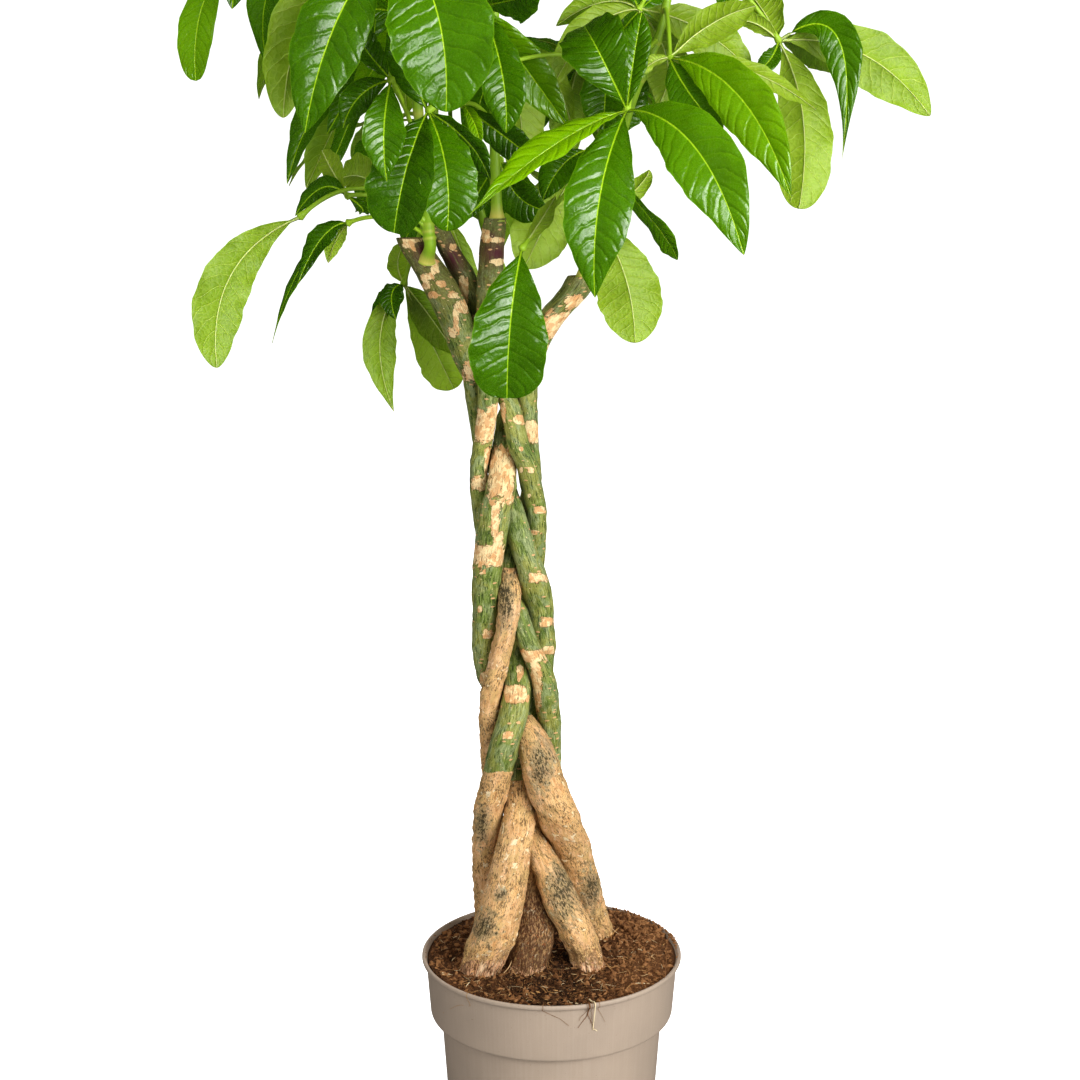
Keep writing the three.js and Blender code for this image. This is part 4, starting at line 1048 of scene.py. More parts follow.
# The low heap at the back right, and the holes in the pot's floor.
HEAP = {"x": 75, "y": 70, "height": 5, "reach": 30}
DRAIN_HOLES = 6
DRAIN_RADIUS = 6
DRAIN_RING = 70


def rounded(profile, steps=5):
    """A profile with its corners rounded off."""
    spots = [np.array(p[:2], float) for p in profile]
    found = [spots[0]]
    for before, corner, after, (*_, reach) in zip(spots, spots[1:], spots[2:], profile[1:]):
        back, on = before - corner, after - corner
        far = min(reach, 0.45 * np.linalg.norm(back), 0.45 * np.linalg.norm(on))
        first, last = corner + unit(back) * far, corner + unit(on) * far
        found += list(arch(first, corner, last, np.linspace(0, 1, steps)))
    return np.array(found + [spots[-1]])


def filled_in(profile, step):
    """The same profile with no stretch longer than step."""
    found = [profile[0]]
    for a, b in zip(profile, profile[1:]):
        count = max(1, int(np.linalg.norm(b - a) / step))
        found += [a + (b - a) * k / count for k in range(1, count + 1)]
    return np.array(found)


def revolve(profile, sides):
    """Rings of a turned form, from the middle of its foot round to its inside."""
    angles = np.arange(sides) * TURN / sides
    ways = np.stack([np.cos(angles), np.sin(angles)], axis=1)
    rings = np.zeros((len(profile), sides, 3))
    rings[..., :2] = profile[:, None, :1] * ways
    rings[..., 2] = profile[:, 1:]
    return rings


def make_pot(settings, material):
    """The pot's shell, slightly out of round, with its drain holes."""
    profile = filled_in(np.vstack([rounded(POT_OUTSIDE), rounded(POT_INSIDE)[1:]]), 5.0)
    rings = revolve(profile, settings.sides)
    turn = np.arctan2(rings[..., 1], rings[..., 0])
    lean = 1 + settings.wobble * 1e3 / RIM * np.sin(2 * turn + 0.7) * rings[..., 2] / POT_HEIGHT
    rings[..., :2] *= lean[..., None]
    high, out = rings[..., 2], np.hypot(rings[..., 0], rings[..., 1])
    dust = np.clip((high - POT_HEIGHT + 20) / 18, 0, 1) * np.where(out < 133, 1.0, 0.7)
    run = np.cumsum(np.linalg.norm(np.diff(profile, axis=0, prepend=profile[:1]), axis=1)) / 1000
    skin = Skin()
    skin.tube(rings, np.linspace(0, 1, settings.sides + 1), run, dust=dust)
    pot = skin.build("pot_shell", material, 35)
    for hole in range(DRAIN_HOLES):
        angle = (hole + 0.5) * TURN / DRAIN_HOLES
        drill = Skin()
        foot = np.array([DRAIN_RING * math.cos(angle), DRAIN_RING * math.sin(angle), 0.0])
        drill.tube(rings_along([foot - 6 * UP, foot + 9 * UP], DRAIN_RADIUS, 28))
        cutter = drill.build("drill", material)
        cut = pot.modifiers.new("hole", "BOOLEAN")
        cut.object, cut.operation, cut.solver = cutter, "DIFFERENCE", "EXACT"
        bake_modifiers(pot)
        bpy.data.objects.remove(cutter)
    return settle(pot, "pot", "pot")


def bake_modifiers(piece):
    """Keeps what a piece's modifiers make and takes them off."""
    graph = bpy.context.evaluated_depsgraph_get()
    made = bpy.data.meshes.new_from_object(piece.evaluated_get(graph))
    piece.modifiers.clear()
    piece.data = made


# Lumps of the peat: height, grain and seed.
PEAT_LUMPS = ((2.2, 26, 0.0), (1.7, 10, 3.0), (1.1, 4.2, 7.0), (0.6, 1.9, 9.0))


def lumpy_height(x, y, lumps):
    """The peat's height with its lumps."""
    flat = np.stack([x, y, np.zeros_like(x)], axis=-1).reshape(-1, 3)
    rough = sum(high * ripple(flat, size, seed) for high, size, seed in PEAT_LUMPS)
    calm = np.clip((RIM - np.hypot(x, y)) / 22, 0.35, 1)
    apart = (x - HEAP["x"]) ** 2 + (y - HEAP["y"]) ** 2
    level = SOIL_TOP + HEAP["height"] * np.exp(-apart / (2 * HEAP["reach"] ** 2))
    return level + lumps * calm * rough.reshape(x.shape)


def paler_and_lit_sides(x):
    """How much paler the peat is towards the sides: partly paler, straw-like peat and partly
    painted light, more on the right, where the key light stands.
    """
    return np.where(x > 0, 0.5, 0.3) * np.clip((np.abs(x) - 20) / 60, 0, 1)


def make_peat(settings, material):
    """The bed of peat, just inside the pot's wall."""
    wall = [(r - 0.3, z + 0.3) for r, z, _ in POT_INSIDE[1:-1]][::-1]
    side = filled_in(np.array([(0.4, 3.3), *wall]), 12)
    top = np.linspace(129.2, 0.5, settings.rings)
    rings = revolve(np.vstack([side, np.stack([top, np.full(len(top), SOIL_TOP)], 1)]), 200)
    up = rings[len(side):]
    up[..., 2] = lumpy_height(up[..., 0], up[..., 1], settings.lumps)
    skin = Skin()
    # tone: paler peat and painted light towards the sides
    skin.tube(rings, tone=paler_and_lit_sides(rings[..., 0]))
    return settle(skin.build("peat_bed", material, 180), "soil", "soil")


def lump_form():
    """Corners and faces of a small twenty-sided lump."""
    g = (1 + 5**0.5) / 2
    corners = [(-1, g, 0), (1, g, 0), (-1, -g, 0), (1, -g, 0), (0, -1, g), (0, 1, g)]
    corners += [(0, -1, -g), (0, 1, -g), (g, 0, -1), (g, 0, 1), (-g, 0, -1), (-g, 0, 1)]
    faces = [
        (0, 11, 5), (0, 5, 1), (0, 1, 7), (0, 7, 10), (0, 10, 11), (1, 5, 9), (5, 11, 4),
        (11, 10, 2), (10, 7, 6), (7, 1, 8), (3, 9, 4), (3, 4, 2), (3, 2, 6), (3, 6, 8),
        (3, 8, 9), (4, 9, 5), (2, 4, 11), (6, 2, 10), (8, 6, 7), (9, 8, 1),
    ]
    return unit(np.array(corners, float)), np.array(faces)


def make_crumbs(settings, material):
    """Loose crumbs of peat, thickest where the peat heaps up, and some on the rim."""
    chance = random.Random(11)
    corners, faces = lump_form()
    points, turned_faces, tones = [], [], []

    def crumb(x, y, z, size, tone):
        axis = unit(np.array([chance.gauss(0, 1) for _ in range(3)]))
        spin = turn_about(axis, 360 * chance.random())
        form = corners * [[0.55 + 0.8 * chance.random()] for _ in corners]
        form = form * [1.5 * size, 0.85 * size, 0.7 * size] @ spin.T
        turned_faces.append(faces + 12 * len(points))
        points.append(form + (x, y, z))
        # tone: paler peat and painted light towards the sides
        tones.extend([min(1.0, tone + float(paler_and_lit_sides(x)))] * 12)

    def on_peat(far, way, size, tone):
        x, y = far * math.cos(way), far * math.sin(way)
        z = float(lumpy_height(np.array([x]), np.array([y]), settings.lumps)[0])
        crumb(x, y, z + size * (0.7 * chance.random() - 0.15), size, tone)

    for _ in range(settings.crumbs):
        size = 0.5 + 2.3 * chance.random() ** 2.6
        far, way = 127 * math.sqrt(chance.random()), TURN * chance.random()
        on_peat(far, way, size, chance.random() ** 1.6)
    # heaped higher at the back right, and spilt on the rim
    for _ in range(settings.crumbs // 8):
        way = math.radians(45 + 55 * (chance.random() - 0.5))
        on_peat(96 + 32 * chance.random(), way, 1 + 2.4 * chance.random(), chance.random() ** 2)
    for _ in range(70):
        way = math.radians(4 + 66 * chance.random())
        far, size = 130.6 + 2.8 * chance.random(), 0.5 + 1.3 * chance.random()
        crumb(far * math.cos(way), far * math.sin(way), POT_HEIGHT - 0.4 + 0.5 * size, size, 0.3)
    for _ in range(60):
        way, size = TURN * chance.random(), 0.3 + 0.6 * chance.random()
        far = 129.5 + 2.5 * chance.random()
        crumb(far * math.cos(way), far * math.sin(way), POT_HEIGHT - 1.2 + 0.5 * size, size, 0.5)
    mesh = bpy.data.meshes.new("peat_crumbs")
    mesh.from_pydata((np.vstack(points) * MM).tolist(), [], np.vstack(turned_faces).tolist())
    mesh.uv_layers.new(name="surface")
    tone = mesh.attributes.new("tone", "FLOAT", "POINT")
    tone.data.foreach_set("value", np.array(tones, np.float32))
    mesh.materials.append(material)
    return settle(placed("peat_crumbs", mesh), "soil", "soil")


# How many torn fibres hang from the foot of each stem.
FOOT_FIBRES = (22, 14, 26, 44, 16)

# Rootlets that hang over the rim: places on the sheet down the collar, thickness and tone.
ROOTLETS = [
    ([(543, 1011), (551, 1015), (560, 1019), (569, 1026)], 0.32, 0.1),
    ([(588, 1011), (587, 1016), (583, 1021), (578, 1028)], 0.5, 0.0),
    ([(589, 1010), (588, 1015), (591, 1021), (594, 1029)], 0.5, 0.05),
    ([(586, 1012), (581, 1017), (579, 1021)], 0.3, 0.0),
    ([(591, 1011), (592, 1016), (590, 1024)], 0.3, 0.1),
    ([(598, 1009), (601, 1014), (605, 1022)], 0.28, 0.15),
    ([(593, 1028), (594, 1029), (597, 1031)], 0.9, 1.0),
    ([(470, 1006), (460, 1005), (452, 1008), (443, 1013)], 0.26, 0.3),
    ([(668, 939), (676, 938), (681, 941)], 0.7, 0.05),
]


def on_pot(across, down):
    """The point of the pot's front that shows at a place on the sheet."""
    profile = np.array([p[:2] for p in POT_OUTSIDE[1:11]])
    near_depth, far_depth = -170.0, 0.0
    for _ in range(40):
        depth = (near_depth + far_depth) / 2
        x, y, z = seen((across, down, depth))
        if math.hypot(x, y) > np.interp(z, profile[:, 1], profile[:, 0]) + 0.5:
            near_depth = depth
        else:
            far_depth = depth
    return seen((across, down, depth))


def over_rim(places):
    """A line from the peat over the rim and down the collar."""
    down = [on_pot(*place) for place in places]
    way = unit(down[0][:2])
    over = [(119, 257.5), (127, 258.6), (132.6, 260.9)]
    if down[0][2] < 256:
        over.append((135.7, 257))
    return np.array([(*(way * far), z) for far, z in over] + down)


def make_straws(settings, material):
    """Straws, fibres and rootlets in and on the peat."""
    chance = random.Random(12)
    skin = Skin()
    for _ in range(settings.straws):
        far, way = 122 * math.sqrt(chance.random()), TURN * chance.random()
        heading, length = TURN * chance.random(), 3 + 21 * chance.random() ** 2.2
        curl = (chance.random() - 0.5) * 1.6
        line = []
        for k in np.linspace(-0.5, 0.5, 6):
            turn = heading + curl * k
            line.append((
                far * math.cos(way) + length * k * math.cos(turn),
                far * math.sin(way) + length * k * math.sin(turn),
            ))
        line = np.array(line)
        reach = np.hypot(line[:, 0], line[:, 1])
        line *= np.minimum(1, 126 / reach)[:, None]
        z = lumpy_height(line[:, 0], line[:, 1], settings.lumps * 0.8)
        tilt = (chance.random() - 0.35) * min(3.5, 0.3 * length)
        line = np.column_stack([line, z + 0.7 + tilt * np.linspace(-1, 1, 6)])
        thick = (0.16 + 0.55 * chance.random() ** 3) * np.array([0.5, 0.9, 1, 1, 0.85, 0.4])
        skin.tube(rings_along(line, thick, 5), tone=chance.random() ** 1.3)
    for number, fibres in zip(range(1, STEMS + 1), FOOT_FIBRES):
        heights, middles, radii = stem_rings(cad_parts[f"stem_{number}"])
        for _ in range(fibres):
            way = TURN * chance.random()
            top, spread = SOIL_TOP + 2 + 12 * chance.random() ** 2, 1 + 14 * chance.random() ** 2
            out = np.array([math.cos(way), math.sin(way)])
            side = np.array([-out[1], out[0]]) * (chance.random() - 0.5) * 7
            line = []
            for k in np.linspace(0, 1, 7):
                z = top + (SOIL_TOP - 1 - top) * k
                middle = [np.interp(z, heights, middles[:, i]) for i in (0, 1)]
                far = np.interp(z, heights, radii) + 0.5 + spread * k**2
                line.append((*(middle + out * far + side * k), z + 1.5 * k**3))
            thick = (0.2 + 0.4 * chance.random() ** 2) * np.array([0.4, 0.8, 1, 1, 0.9, 0.7, 0.3])
            skin.tube(rings_along(np.array(line), thick, 5), tone=0.8 * chance.random())
    for places, thick, tone in ROOTLETS:
        line = spline(over_rim(places), np.linspace(0, 1, 24))
        radii = thick * (1 - 0.6 * np.linspace(0, 1, 24)) * (1 + 0.3 * ripple(line, 2.0))
        skin.tube(rings_along(line, radii, 7), tone=tone)
    return settle(skin.build("straw_and_rootlets", material), "soil", "soil")


# Below this place on the sheet each stem's bark is corky.
CORKY_FROM = (800, 568, 780, 715, 772)

# Marks on the bark that show from the front (bared patches, dirty ones, purple ones): stem,
# middle on the sheet, half width and half height.
SCARS = [
    (1, 486, 426, 10, 14), (1, 495, 411, 4, 8), (1, 479, 484, 7, 6), (1, 488, 466, 3, 14),
    (1, 533, 656, 12, 6), (1, 536, 684, 5, 22), (1, 496, 240, 12, 2.5), (1, 486, 234, 4, 5),
    (1, 500, 262, 9, 3), (2, 532, 432, 7, 10), (2, 534, 367, 14, 4), (2, 554, 325, 9, 13),
    (2, 575, 302, 9, 6), (2, 565, 318, 5, 6), (2, 544, 345, 5, 5), (3, 538, 578, 8, 4),
    (3, 547, 622, 6, 4), (3, 548, 650, 6, 4), (3, 473, 372, 9, 9), (3, 462, 307, 6, 6),
    (3, 456, 320, 3, 14), (3, 427, 277, 6, 3), (3, 426, 286, 4, 4), (3, 433, 295, 4, 3),
    (3, 441, 284, 4, 3), (3, 435, 270, 4, 3), (3, 453, 295, 5, 3), (3, 409, 240, 6, 9),
    (3, 416, 238, 8, 4), (3, 431, 263, 8, 3), (3, 452, 333, 4, 5), (4, 502, 474, 13, 26),
    (4, 495, 520, 4, 18), (4, 489, 555, 15, 10), (4, 489, 634, 5, 4), (4, 485, 677, 4, 6),
    (4, 480, 609, 2, 3), (4, 482, 573, 3, 2), (4, 498, 540, 5, 8), (5, 502, 413, 3, 10),
    (5, 520, 420, 6, 4), (5, 521, 449, 2, 2), (5, 521, 470, 2, 3), (5, 531, 470, 3, 2.5),
    (5, 529, 496, 2, 2), (5, 540, 510, 5, 3), (5, 534, 532, 6, 2), (5, 515, 694, 11, 8),
    (5, 520, 672, 3, 6), (5, 508, 735, 4, 3), (5, 463, 292, 5, 14), (5, 453, 247, 4, 4),
    (5, 478, 318, 6, 4),
]
MURKY = [
    (2, 563, 888, 20, 44), (2, 506, 604, 10, 38), (3, 485, 927, 19, 20), (3, 500, 895, 10, 8),
    (4, 592, 888, 14, 26), (5, 482, 825, 9, 26), (4, 542, 765, 14, 36),
]
PURPLE = [(3, 423, 251, 8, 9), (5, 453, 258, 9, 13), (1, 497, 253, 14, 9), (1, 488, 238, 8, 4)]
# Bared patches, and as many dirty ones, on the side of a stem that doesn't show.
BACK_MARKS = 7

# Below this place on the sheet each stem's foot is torn to fibres.
FRAYED_FROM = (968, 960, 958, 944, 965)

# Swollen places: stem, how far down the sheet, height and reach.
SWOLLEN = [(2, 590, 2.2, 20), (3, 588, 1.6, 16), (3, 944, 1.4, 5), (1, 905, 1.0, 12)]

# How far from a neighbour's bark a stem still gets painted shade, in millimetres.
CONTACT_SHADE_REACH = 2.2


def contact_shade_marks(number, body):
    """How much painted shade each place gets where other stems come close, from 0 to 1."""
    corners, sides, total = [], [], 0
    for other in range(1, STEMS + 1):
        if other != number:
            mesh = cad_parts[f"stem_{other}"].data
            corners += [v.co for v in mesh.vertices]
            sides += [[total + v for v in p.vertices] for p in mesh.polygons]
            total += len(mesh.vertices)
    others = BVHTree.FromPolygons(corners, sides)
    apart = [others.find_nearest(Vector(p * MM))[3] / MM for p in body.reshape(-1, 3)]
    return bell(np.array(apart) / CONTACT_SHADE_REACH).reshape(body.shape[:2])


def stem_rings(node):
    """Heights, middles and radii of a packed stem's level rings, in millimetres."""
    points = np.array([v.co for v in node.data.vertices]) / MM
    heights = np.unique(np.round(points[:, 2], 1))
    middles, radii = [], []
    for z in heights:
        ring = points[np.abs(points[:, 2] - z) < 0.3, :2]
        middle = (ring.max(axis=0) + ring.min(axis=0)) / 2
        middles.append(middle)
        radii.append(np.hypot(*(ring - middle).T).max())
    return heights, np.array(middles), np.array(radii)


def near(values, scars, stem, across, down, facing, square=0.0):
    """How far each place lies inside the given forms on the sheet, from ellipses to squares."""
    for number, x, y, wide, high in scars:
        if number == stem:
            aside, above = abs(across - x) / wide, abs(down - y) / high
            round_far, square_far = np.hypot(aside, above), np.maximum(aside, above)
            inside = 1.15 - (round_far + square * (square_far - round_far)) * 0.6
            values = np.maximum(values, np.clip(inside, 0, 1) * facing)
    return values


def make_stem(number, settings, material):
    """One woody stem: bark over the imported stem's middle line, with the marks of its finish."""
    heights, middles, radii = stem_rings(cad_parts[f"stem_{number}"])
    low, top = heights[0], heights[-1]
    count = int((top - low) / (settings.step * 1e3))
    z = np.linspace(low, top, count)
    share = np.interp(z, heights, np.arange(len(heights))) / (len(heights) - 1)
    line = spline(np.column_stack([middles, radii]), share)
    sides = settings.sides
    angles = np.arange(sides) * TURN / sides
    # rings thicken a little where old leaves sat
    chance = random.Random(100 + number)
    rings_at = []
    at = low + 40 * chance.random()
    while at < top:
        rings_at.append((at, 0.25 + 0.6 * chance.random(), 2.2 + 3 * chance.random()))
        at += 26 + 46 * chance.random()
    bulge = sum(high * bell((z - spot) / wide) for spot, high, wide in rings_at)
    cos, sin = np.cos(angles), np.sin(angles)

    def all_round(values):
        return np.broadcast_to(values, (count, sides))

    body = np.zeros((count, sides, 3))
    body[..., 0] = line[:, :1] + line[:, 2:] * cos
    body[..., 1] = line[:, 1:2] + line[:, 2:] * sin
    body[..., 2] = z[:, None]
    outward = np.stack([all_round(cos), all_round(sin)], -1)
    across, down = on_sheet(body)
    facing = ((outward * (EYE[:2] - body[..., :2])).sum(-1) > -200).astype(float)
    local = np.stack([line[:, 2:] * cos, line[:, 2:] * sin, all_round(z[:, None])], -1)
    flat = local.reshape(-1, 3) + (0, 0, 400 * number)
    broad = ripple(flat * (1, 1, 0.5), 17).reshape(count, sides)
    knots = ripple(flat, 7.5, 4.0).reshape(count, sides)
    furrow = ripple(flat * (1, 1, 0.13), 3.2, 8.0).reshape(count, sides)
    fine = ripple(flat * (1, 1, 0.6), 1.7, 2.0).reshape(count, sides)
    corky = np.clip((down - CORKY_FROM[number - 1]) / 14 + 0.5 + 0.12 * knots, 0, 1)
    foot = np.clip((322 - body[..., 2]) / 50, 0, 1) * (1.0 if number < 4 else 0.6)
    depth = settings.furrow * 1e3
    swell = depth * (0.9 * broad + 0.45 * knots + 0.42 * furrow + 0.14 * fine)
    swell += depth * corky * (0.7 * knots + 0.55 * fine + 0.3)
    swell += foot * (1.9 * furrow + 0.8 * knots)
    for stem, place, high, reach in SWOLLEN:
        if stem == number:
            swell += high * bell((down - place) / reach)
    swell += bulge[:, None] * (1 + 0.4 * knots) - 0.028 * line[:, 2:]
    end = np.clip((top - z) / 3.0, 0, 1)
    swell *= (0.35 + 0.65 * end)[:, None]
    body[..., :2] += outward * swell[..., None]
    scar, murk, purple = (
        near(np.zeros((count, sides)), marks, number, across, down, facing, square)
        for marks, square in ((SCARS, 0.7), (MURKY, 0.3), (PURPLE, 0.0))
    )
    brown = np.clip((down - 868) / 30 + 0.3 * knots, 0, 1) * (number == 1)
    fray = np.clip((down - FRAYED_FROM[number - 1]) / 28 + 0.4 + 0.2 * knots, 0, 1)
    # painted shade where other stems come close
    seam = contact_shade_marks(number, body)
    # darker higher up the stems, where they run up among the leaves
    aged = np.clip((335 - down) / 60, 0, 1)

    def at_the_back(marks, spot, turn, wide, high):
        apart = np.abs((angles - turn + math.pi) % TURN - math.pi)
        inside = 1.15 - np.hypot(apart[None] / wide, (z[:, None] - spot) / high) * 0.6
        return np.maximum(marks, np.clip(inside, 0, 1) * (1 - facing))

    for _ in range(BACK_MARKS):
        spot, turn = low + (top - low) * chance.random(), TURN * chance.random()
        wide, high = 0.5 + 0.6 * chance.random(), 8 + 20 * chance.random()
        scar = at_the_back(scar, spot, turn, wide, high)
        spot, turn = low + (top - low) * 0.5 * chance.random(), TURN * chance.random()
        murk = at_the_back(murk, spot, turn, 1.1, 30)
    # the sawn top: a worn edge, then the cut face drawn in to its middle
    caps, cap_cut = [], []
    for inward, drop in ((0.93, -0.2), (0.86, -0.9), (0.55, -1.2), (0.2, -1.5), (0.04, -1.6)):
        ring = body[-1].copy()
        ring[:, :2] = line[-1, :2] + (ring[:, :2] - line[-1, :2]) * inward
        ring[:, 2] = top + drop + 0.25 * ripple(ring, 2.0)
        caps.append(ring)
        cap_cut.append(0.0 if inward > 0.9 else 1.0)
    rings = np.concatenate([body, caps])
    extra = len(caps)

    def capped(values, last=None):
        filling = values[-1:] if last is None else np.full((1, sides), last)
        return np.concatenate([values, np.repeat(filling, extra, axis=0)])

    # among these marks, the one near other stems is painted shade
    worn = {"low": corky, "brown": brown, "foot": foot, "fray": fray, "seam": seam, "aged": aged}
    worn |= {f"g{axis}": local[..., i] / 10 for i, axis in enumerate("xyz")}
    bare = {"scar": scar, "murk": murk, "purple": purple}
    marks = {name: capped(values) for name, values in worn.items()}
    marks |= {name: capped(values, 0.0) for name, values in bare.items()}
    sawn = np.concatenate([np.zeros(count), cap_cut])[:, None]
    run = np.concatenate([z, np.full(extra, top)]) / 100
    skin = Skin()
    skin.tube(rings, along=run, cut=sawn, shift=float(number * 7), **marks)
    piece = skin.build(f"braided_stem_{number}", material, 60)
    return settle(piece, "bark", f"stem_{number}")


def grown_shoot(number, lines, leaves, settings, finishes):
    """One leafy shoot: its green stem, leaf stalks and every leaflet that the solid holds."""
    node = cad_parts[f"leafy_shoot_{number + 1}"]
    tree = kdtree.KDTree(len(node.data.vertices))
    for i, vertex in enumerate(node.data.vertices):
        tree.insert(vertex.co, i)
    tree.balance()
    chance = random.Random(500 + number)
    route, first, last = SHOOT_LINES[number]
    green, blades = Skin(), Skin()
    count = 12 * len(route)
    t = np.linspace(0, 1, count)
    line = spline([seen(p) for p in route], t)
    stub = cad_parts[f"stem_{SHOOT_STUBS[number]}"]
    skin_of_stub = BVHTree.FromPolygons(
        [v.co for v in stub.data.vertices], [p.vertices for p in stub.data.polygons]
    )
    spot, normal, *_ = skin_of_stub.find_nearest(Vector(line[0] * MM))
    seat = (np.array(spot) - 0.0035 * np.array(normal)) / MM
    line += (seat - line[0]) * bell(t / 0.035)[:, None]
    radii = (first + (last - first) * t) * (1 + 0.5 * bell(t / 0.02))
    nodes_at = sorted(leaf[1] for leaf in leaves if leaf[0] == number)
    radii = radii * (1 + sum(0.22 * bell((t - at) / 0.008) for at in nodes_at))
    radii *= 1 + 0.05 * ripple(line, 9.0, number)
    scar = bell((t - 0.015) / 0.014) * 0.9
    scar += sum(0.5 * bell((t - at + 0.006) / 0.005) for at in nodes_at)
    green.tube(rings_along(line, radii, 16), tone=0.35, scar=np.clip(scar, 0, 1)[:, None])
    onward = (line[-1] - line[-2]) / np.linalg.norm(line[-1] - line[-2])
    bud = [line[-1] + onward * k for k in range(-2, 12, 2)]
    shape = last * np.array([0.8, 1.25, 1.35, 1.1, 0.75, 0.4, 0.1])
    green.tube(rings_along(bud, shape, 12), tone=0.8)
    for shoot, at, start, centre, lift, leaflets in leaves:
        if shoot != number:
            continue
        t = np.linspace(0, 1, 26)
        stalk = arch(start, (start + centre) / 2 + UP * 2 * lift, centre, t)
        past = centre + unit(stalk[-1] - stalk[-2]) * KNOB * 0.5
        stalk = np.vstack([stalk, past])
        t = np.append(t, 1.02)
        thick = STALK * (1 + 0.75 * bell(t / 0.05) + 0.95 * bell((t - 1) / 0.035))
        thick[-1] *= 0.5
        tone = 0.45 + 0.5 * chance.random()
        green.tube(rings_along(stalk, thick, 12), tone=tone)
        for leaflet in leaflets:
            kept = taken_bend(leaflet, tree)
            if kept is None:
                continue
            kept.across = turn_about(unit(kept.tip - kept.base), kept.roll) @ kept.across
            if kept.tone is None:
                kept.tone = 0.15 + 0.5 * chance.random()
            kept.skin(blades, chance, 3 * chance.random(), kept.half > 24 and kept.seen)
    name = f"shoot_{number + 1}"
    stems = green.build(f"{name}_stalks", finishes["stalk"], 60)
    leafage = blades.build(f"{name}_leaves", finishes["leaf"], 50)
    for piece in (stems, leafage):
        settle(piece, "leaf", f"leafy_shoot_{number + 1}")


def linear(code):
    """Linear colour of a hexadecimal one."""
    parts = [int(code[i : i + 2], 16) / 255 for i in (0, 2, 4)]
    return tuple(p / 12.92 if p <= 0.04045 else ((p + 0.055) / 1.055) ** 2.4 for p in parts)


COLOURS = {
    name: linear(code)
    for name, code in {
        "deep": "2a4a00",
        "green": "467000",
        "young": "7aa400",
        "fresh": "528400",
        "vein": "7ca818",
        "rib": "a4c828",
        "under": "809a18",
        "under_deep": "5f7a04",
        "under_pale": "9cb838",
        "under_vein": "bdd36c",
        "under_rib": "cfdd8a",
        "stalk": "a4c636",
        "stalk_deep": "6f9620",
        "scar": "d6c56a",
        "bark_green": "7f9044",
        "bark_olive": "98984e",
        "bark_dark": "56682c",
        "bark_light": "c2c690",
        "bark_crack": "2f3f1a",
        "bark_aged": "5f5433",
        "bark_grey": "8c9868",
        "tan": "d6ab7a",
        "tan_light": "eed4a2",
        "tan_dark": "d09c66",
        "tan_crack": "6f4f30",
        "purple": "5a2a32",
        "cork": "e8be90",
        "cork_deep": "cca06c",
        "cork_gold": "deb47a",
        "cork_olive": "c2a46c",
        "cork_brown": "b47e4c",
        "cork_dark": "54402a",
        "cork_murk": "3c3624",
        "cork_grey": "867c5e",
        "cork_pale": "f0dcb4",
        "cork_rust": "c0703c",
        "foot": "553a24",
        "fray": "d0a27c",
        "fray_pale": "ecd0aa",
        # near-black colour of the painted shade between stems
        "seam": "1c170e",
        "cut": "a98a5e",
        "cut_dark": "5f4a30",
        "pot": "a89786",
        "pot_deep": "a09080",
        "pot_pale": "bcad9e",
        "peat": "684529",
        "peat_dark": "28180c",
        "peat_fibre": "a97c52",
        "straw": "b8905c",
        "straw_dark": "6e4a2c",
        "straw_pale": "e6d6b0",
    }.items()
}


def paints(**own):
    """The colours by name, some of them as they are set."""
    return SimpleNamespace(**COLOURS | {name: tuple(colour) for name, colour in own.items()})


def colour_setting(name, description, colour):
    return bpy.props.FloatVectorProperty(
        name=name, description=description, subtype="COLOR", size=3, min=0, max=1, default=colour
    )


def light_setting(name, place, power):
    return bpy.props.FloatProperty(
        name=name, description=f"Power of the soft light {place}", default=power,
        min=0, max=500, unit="POWER",
    )


class TreePot(bpy.types.PropertyGroup):
    sides: bpy.props.IntProperty(
        name="Sides", description="Facets round the pot", default=144, min=24, max=256
    )
    wobble: bpy.props.FloatProperty(
        name="Out of round", description="How far the soft plastic bows", default=0.0006,
        min=0, max=0.003, precision=4, unit="LENGTH",
    )
    colour: colour_setting("Plastic", "Colour of the plastic", COLOURS["pot"])


class TreePeat(bpy.types.PropertyGroup):
    rings: bpy.props.IntProperty(
        name="Rings", description="Rings across the peat", default=72, min=16, max=128
    )
    lumps: bpy.props.FloatProperty(
        name="Lumps", description="Strength of the lumps", default=1.0, min=0, max=2,
        subtype="FACTOR",
    )
    crumbs: bpy.props.IntProperty(
        name="Crumbs", description="Loose crumbs of peat", default=5200, min=0, max=8000
    )
    straws: bpy.props.IntProperty(
        name="Straws", description="Bits of straw and fibre", default=720, min=0, max=2000
    )
    colour: colour_setting("Peat", "Colour of the peat", COLOURS["peat"])


class TreeStems(bpy.types.PropertyGroup):
    sides: bpy.props.IntProperty(
        name="Sides", description="Facets round a stem", default=56, min=16, max=96
    )
    step: bpy.props.FloatProperty(
        name="Step", description="Height of one ring of bark", default=0.0026, min=0.001,
        max=0.02, precision=4, unit="LENGTH",
    )
    furrow: bpy.props.FloatProperty(
        name="Furrows", description="Depth of the bark's lumps and furrows", default=0.0011,
        min=0, max=0.004, precision=4, unit="LENGTH",
    )
    colour: colour_setting("Green bark", "Colour of the upper bark", COLOURS["bark_green"])


class TreeLeaves(bpy.types.PropertyGroup):
    colour: colour_setting("Leaf", "Colour of a leaf's upper face", COLOURS["green"])
    under: colour_setting("Underside", "Colour of a leaf's lower face", COLOURS["under"])


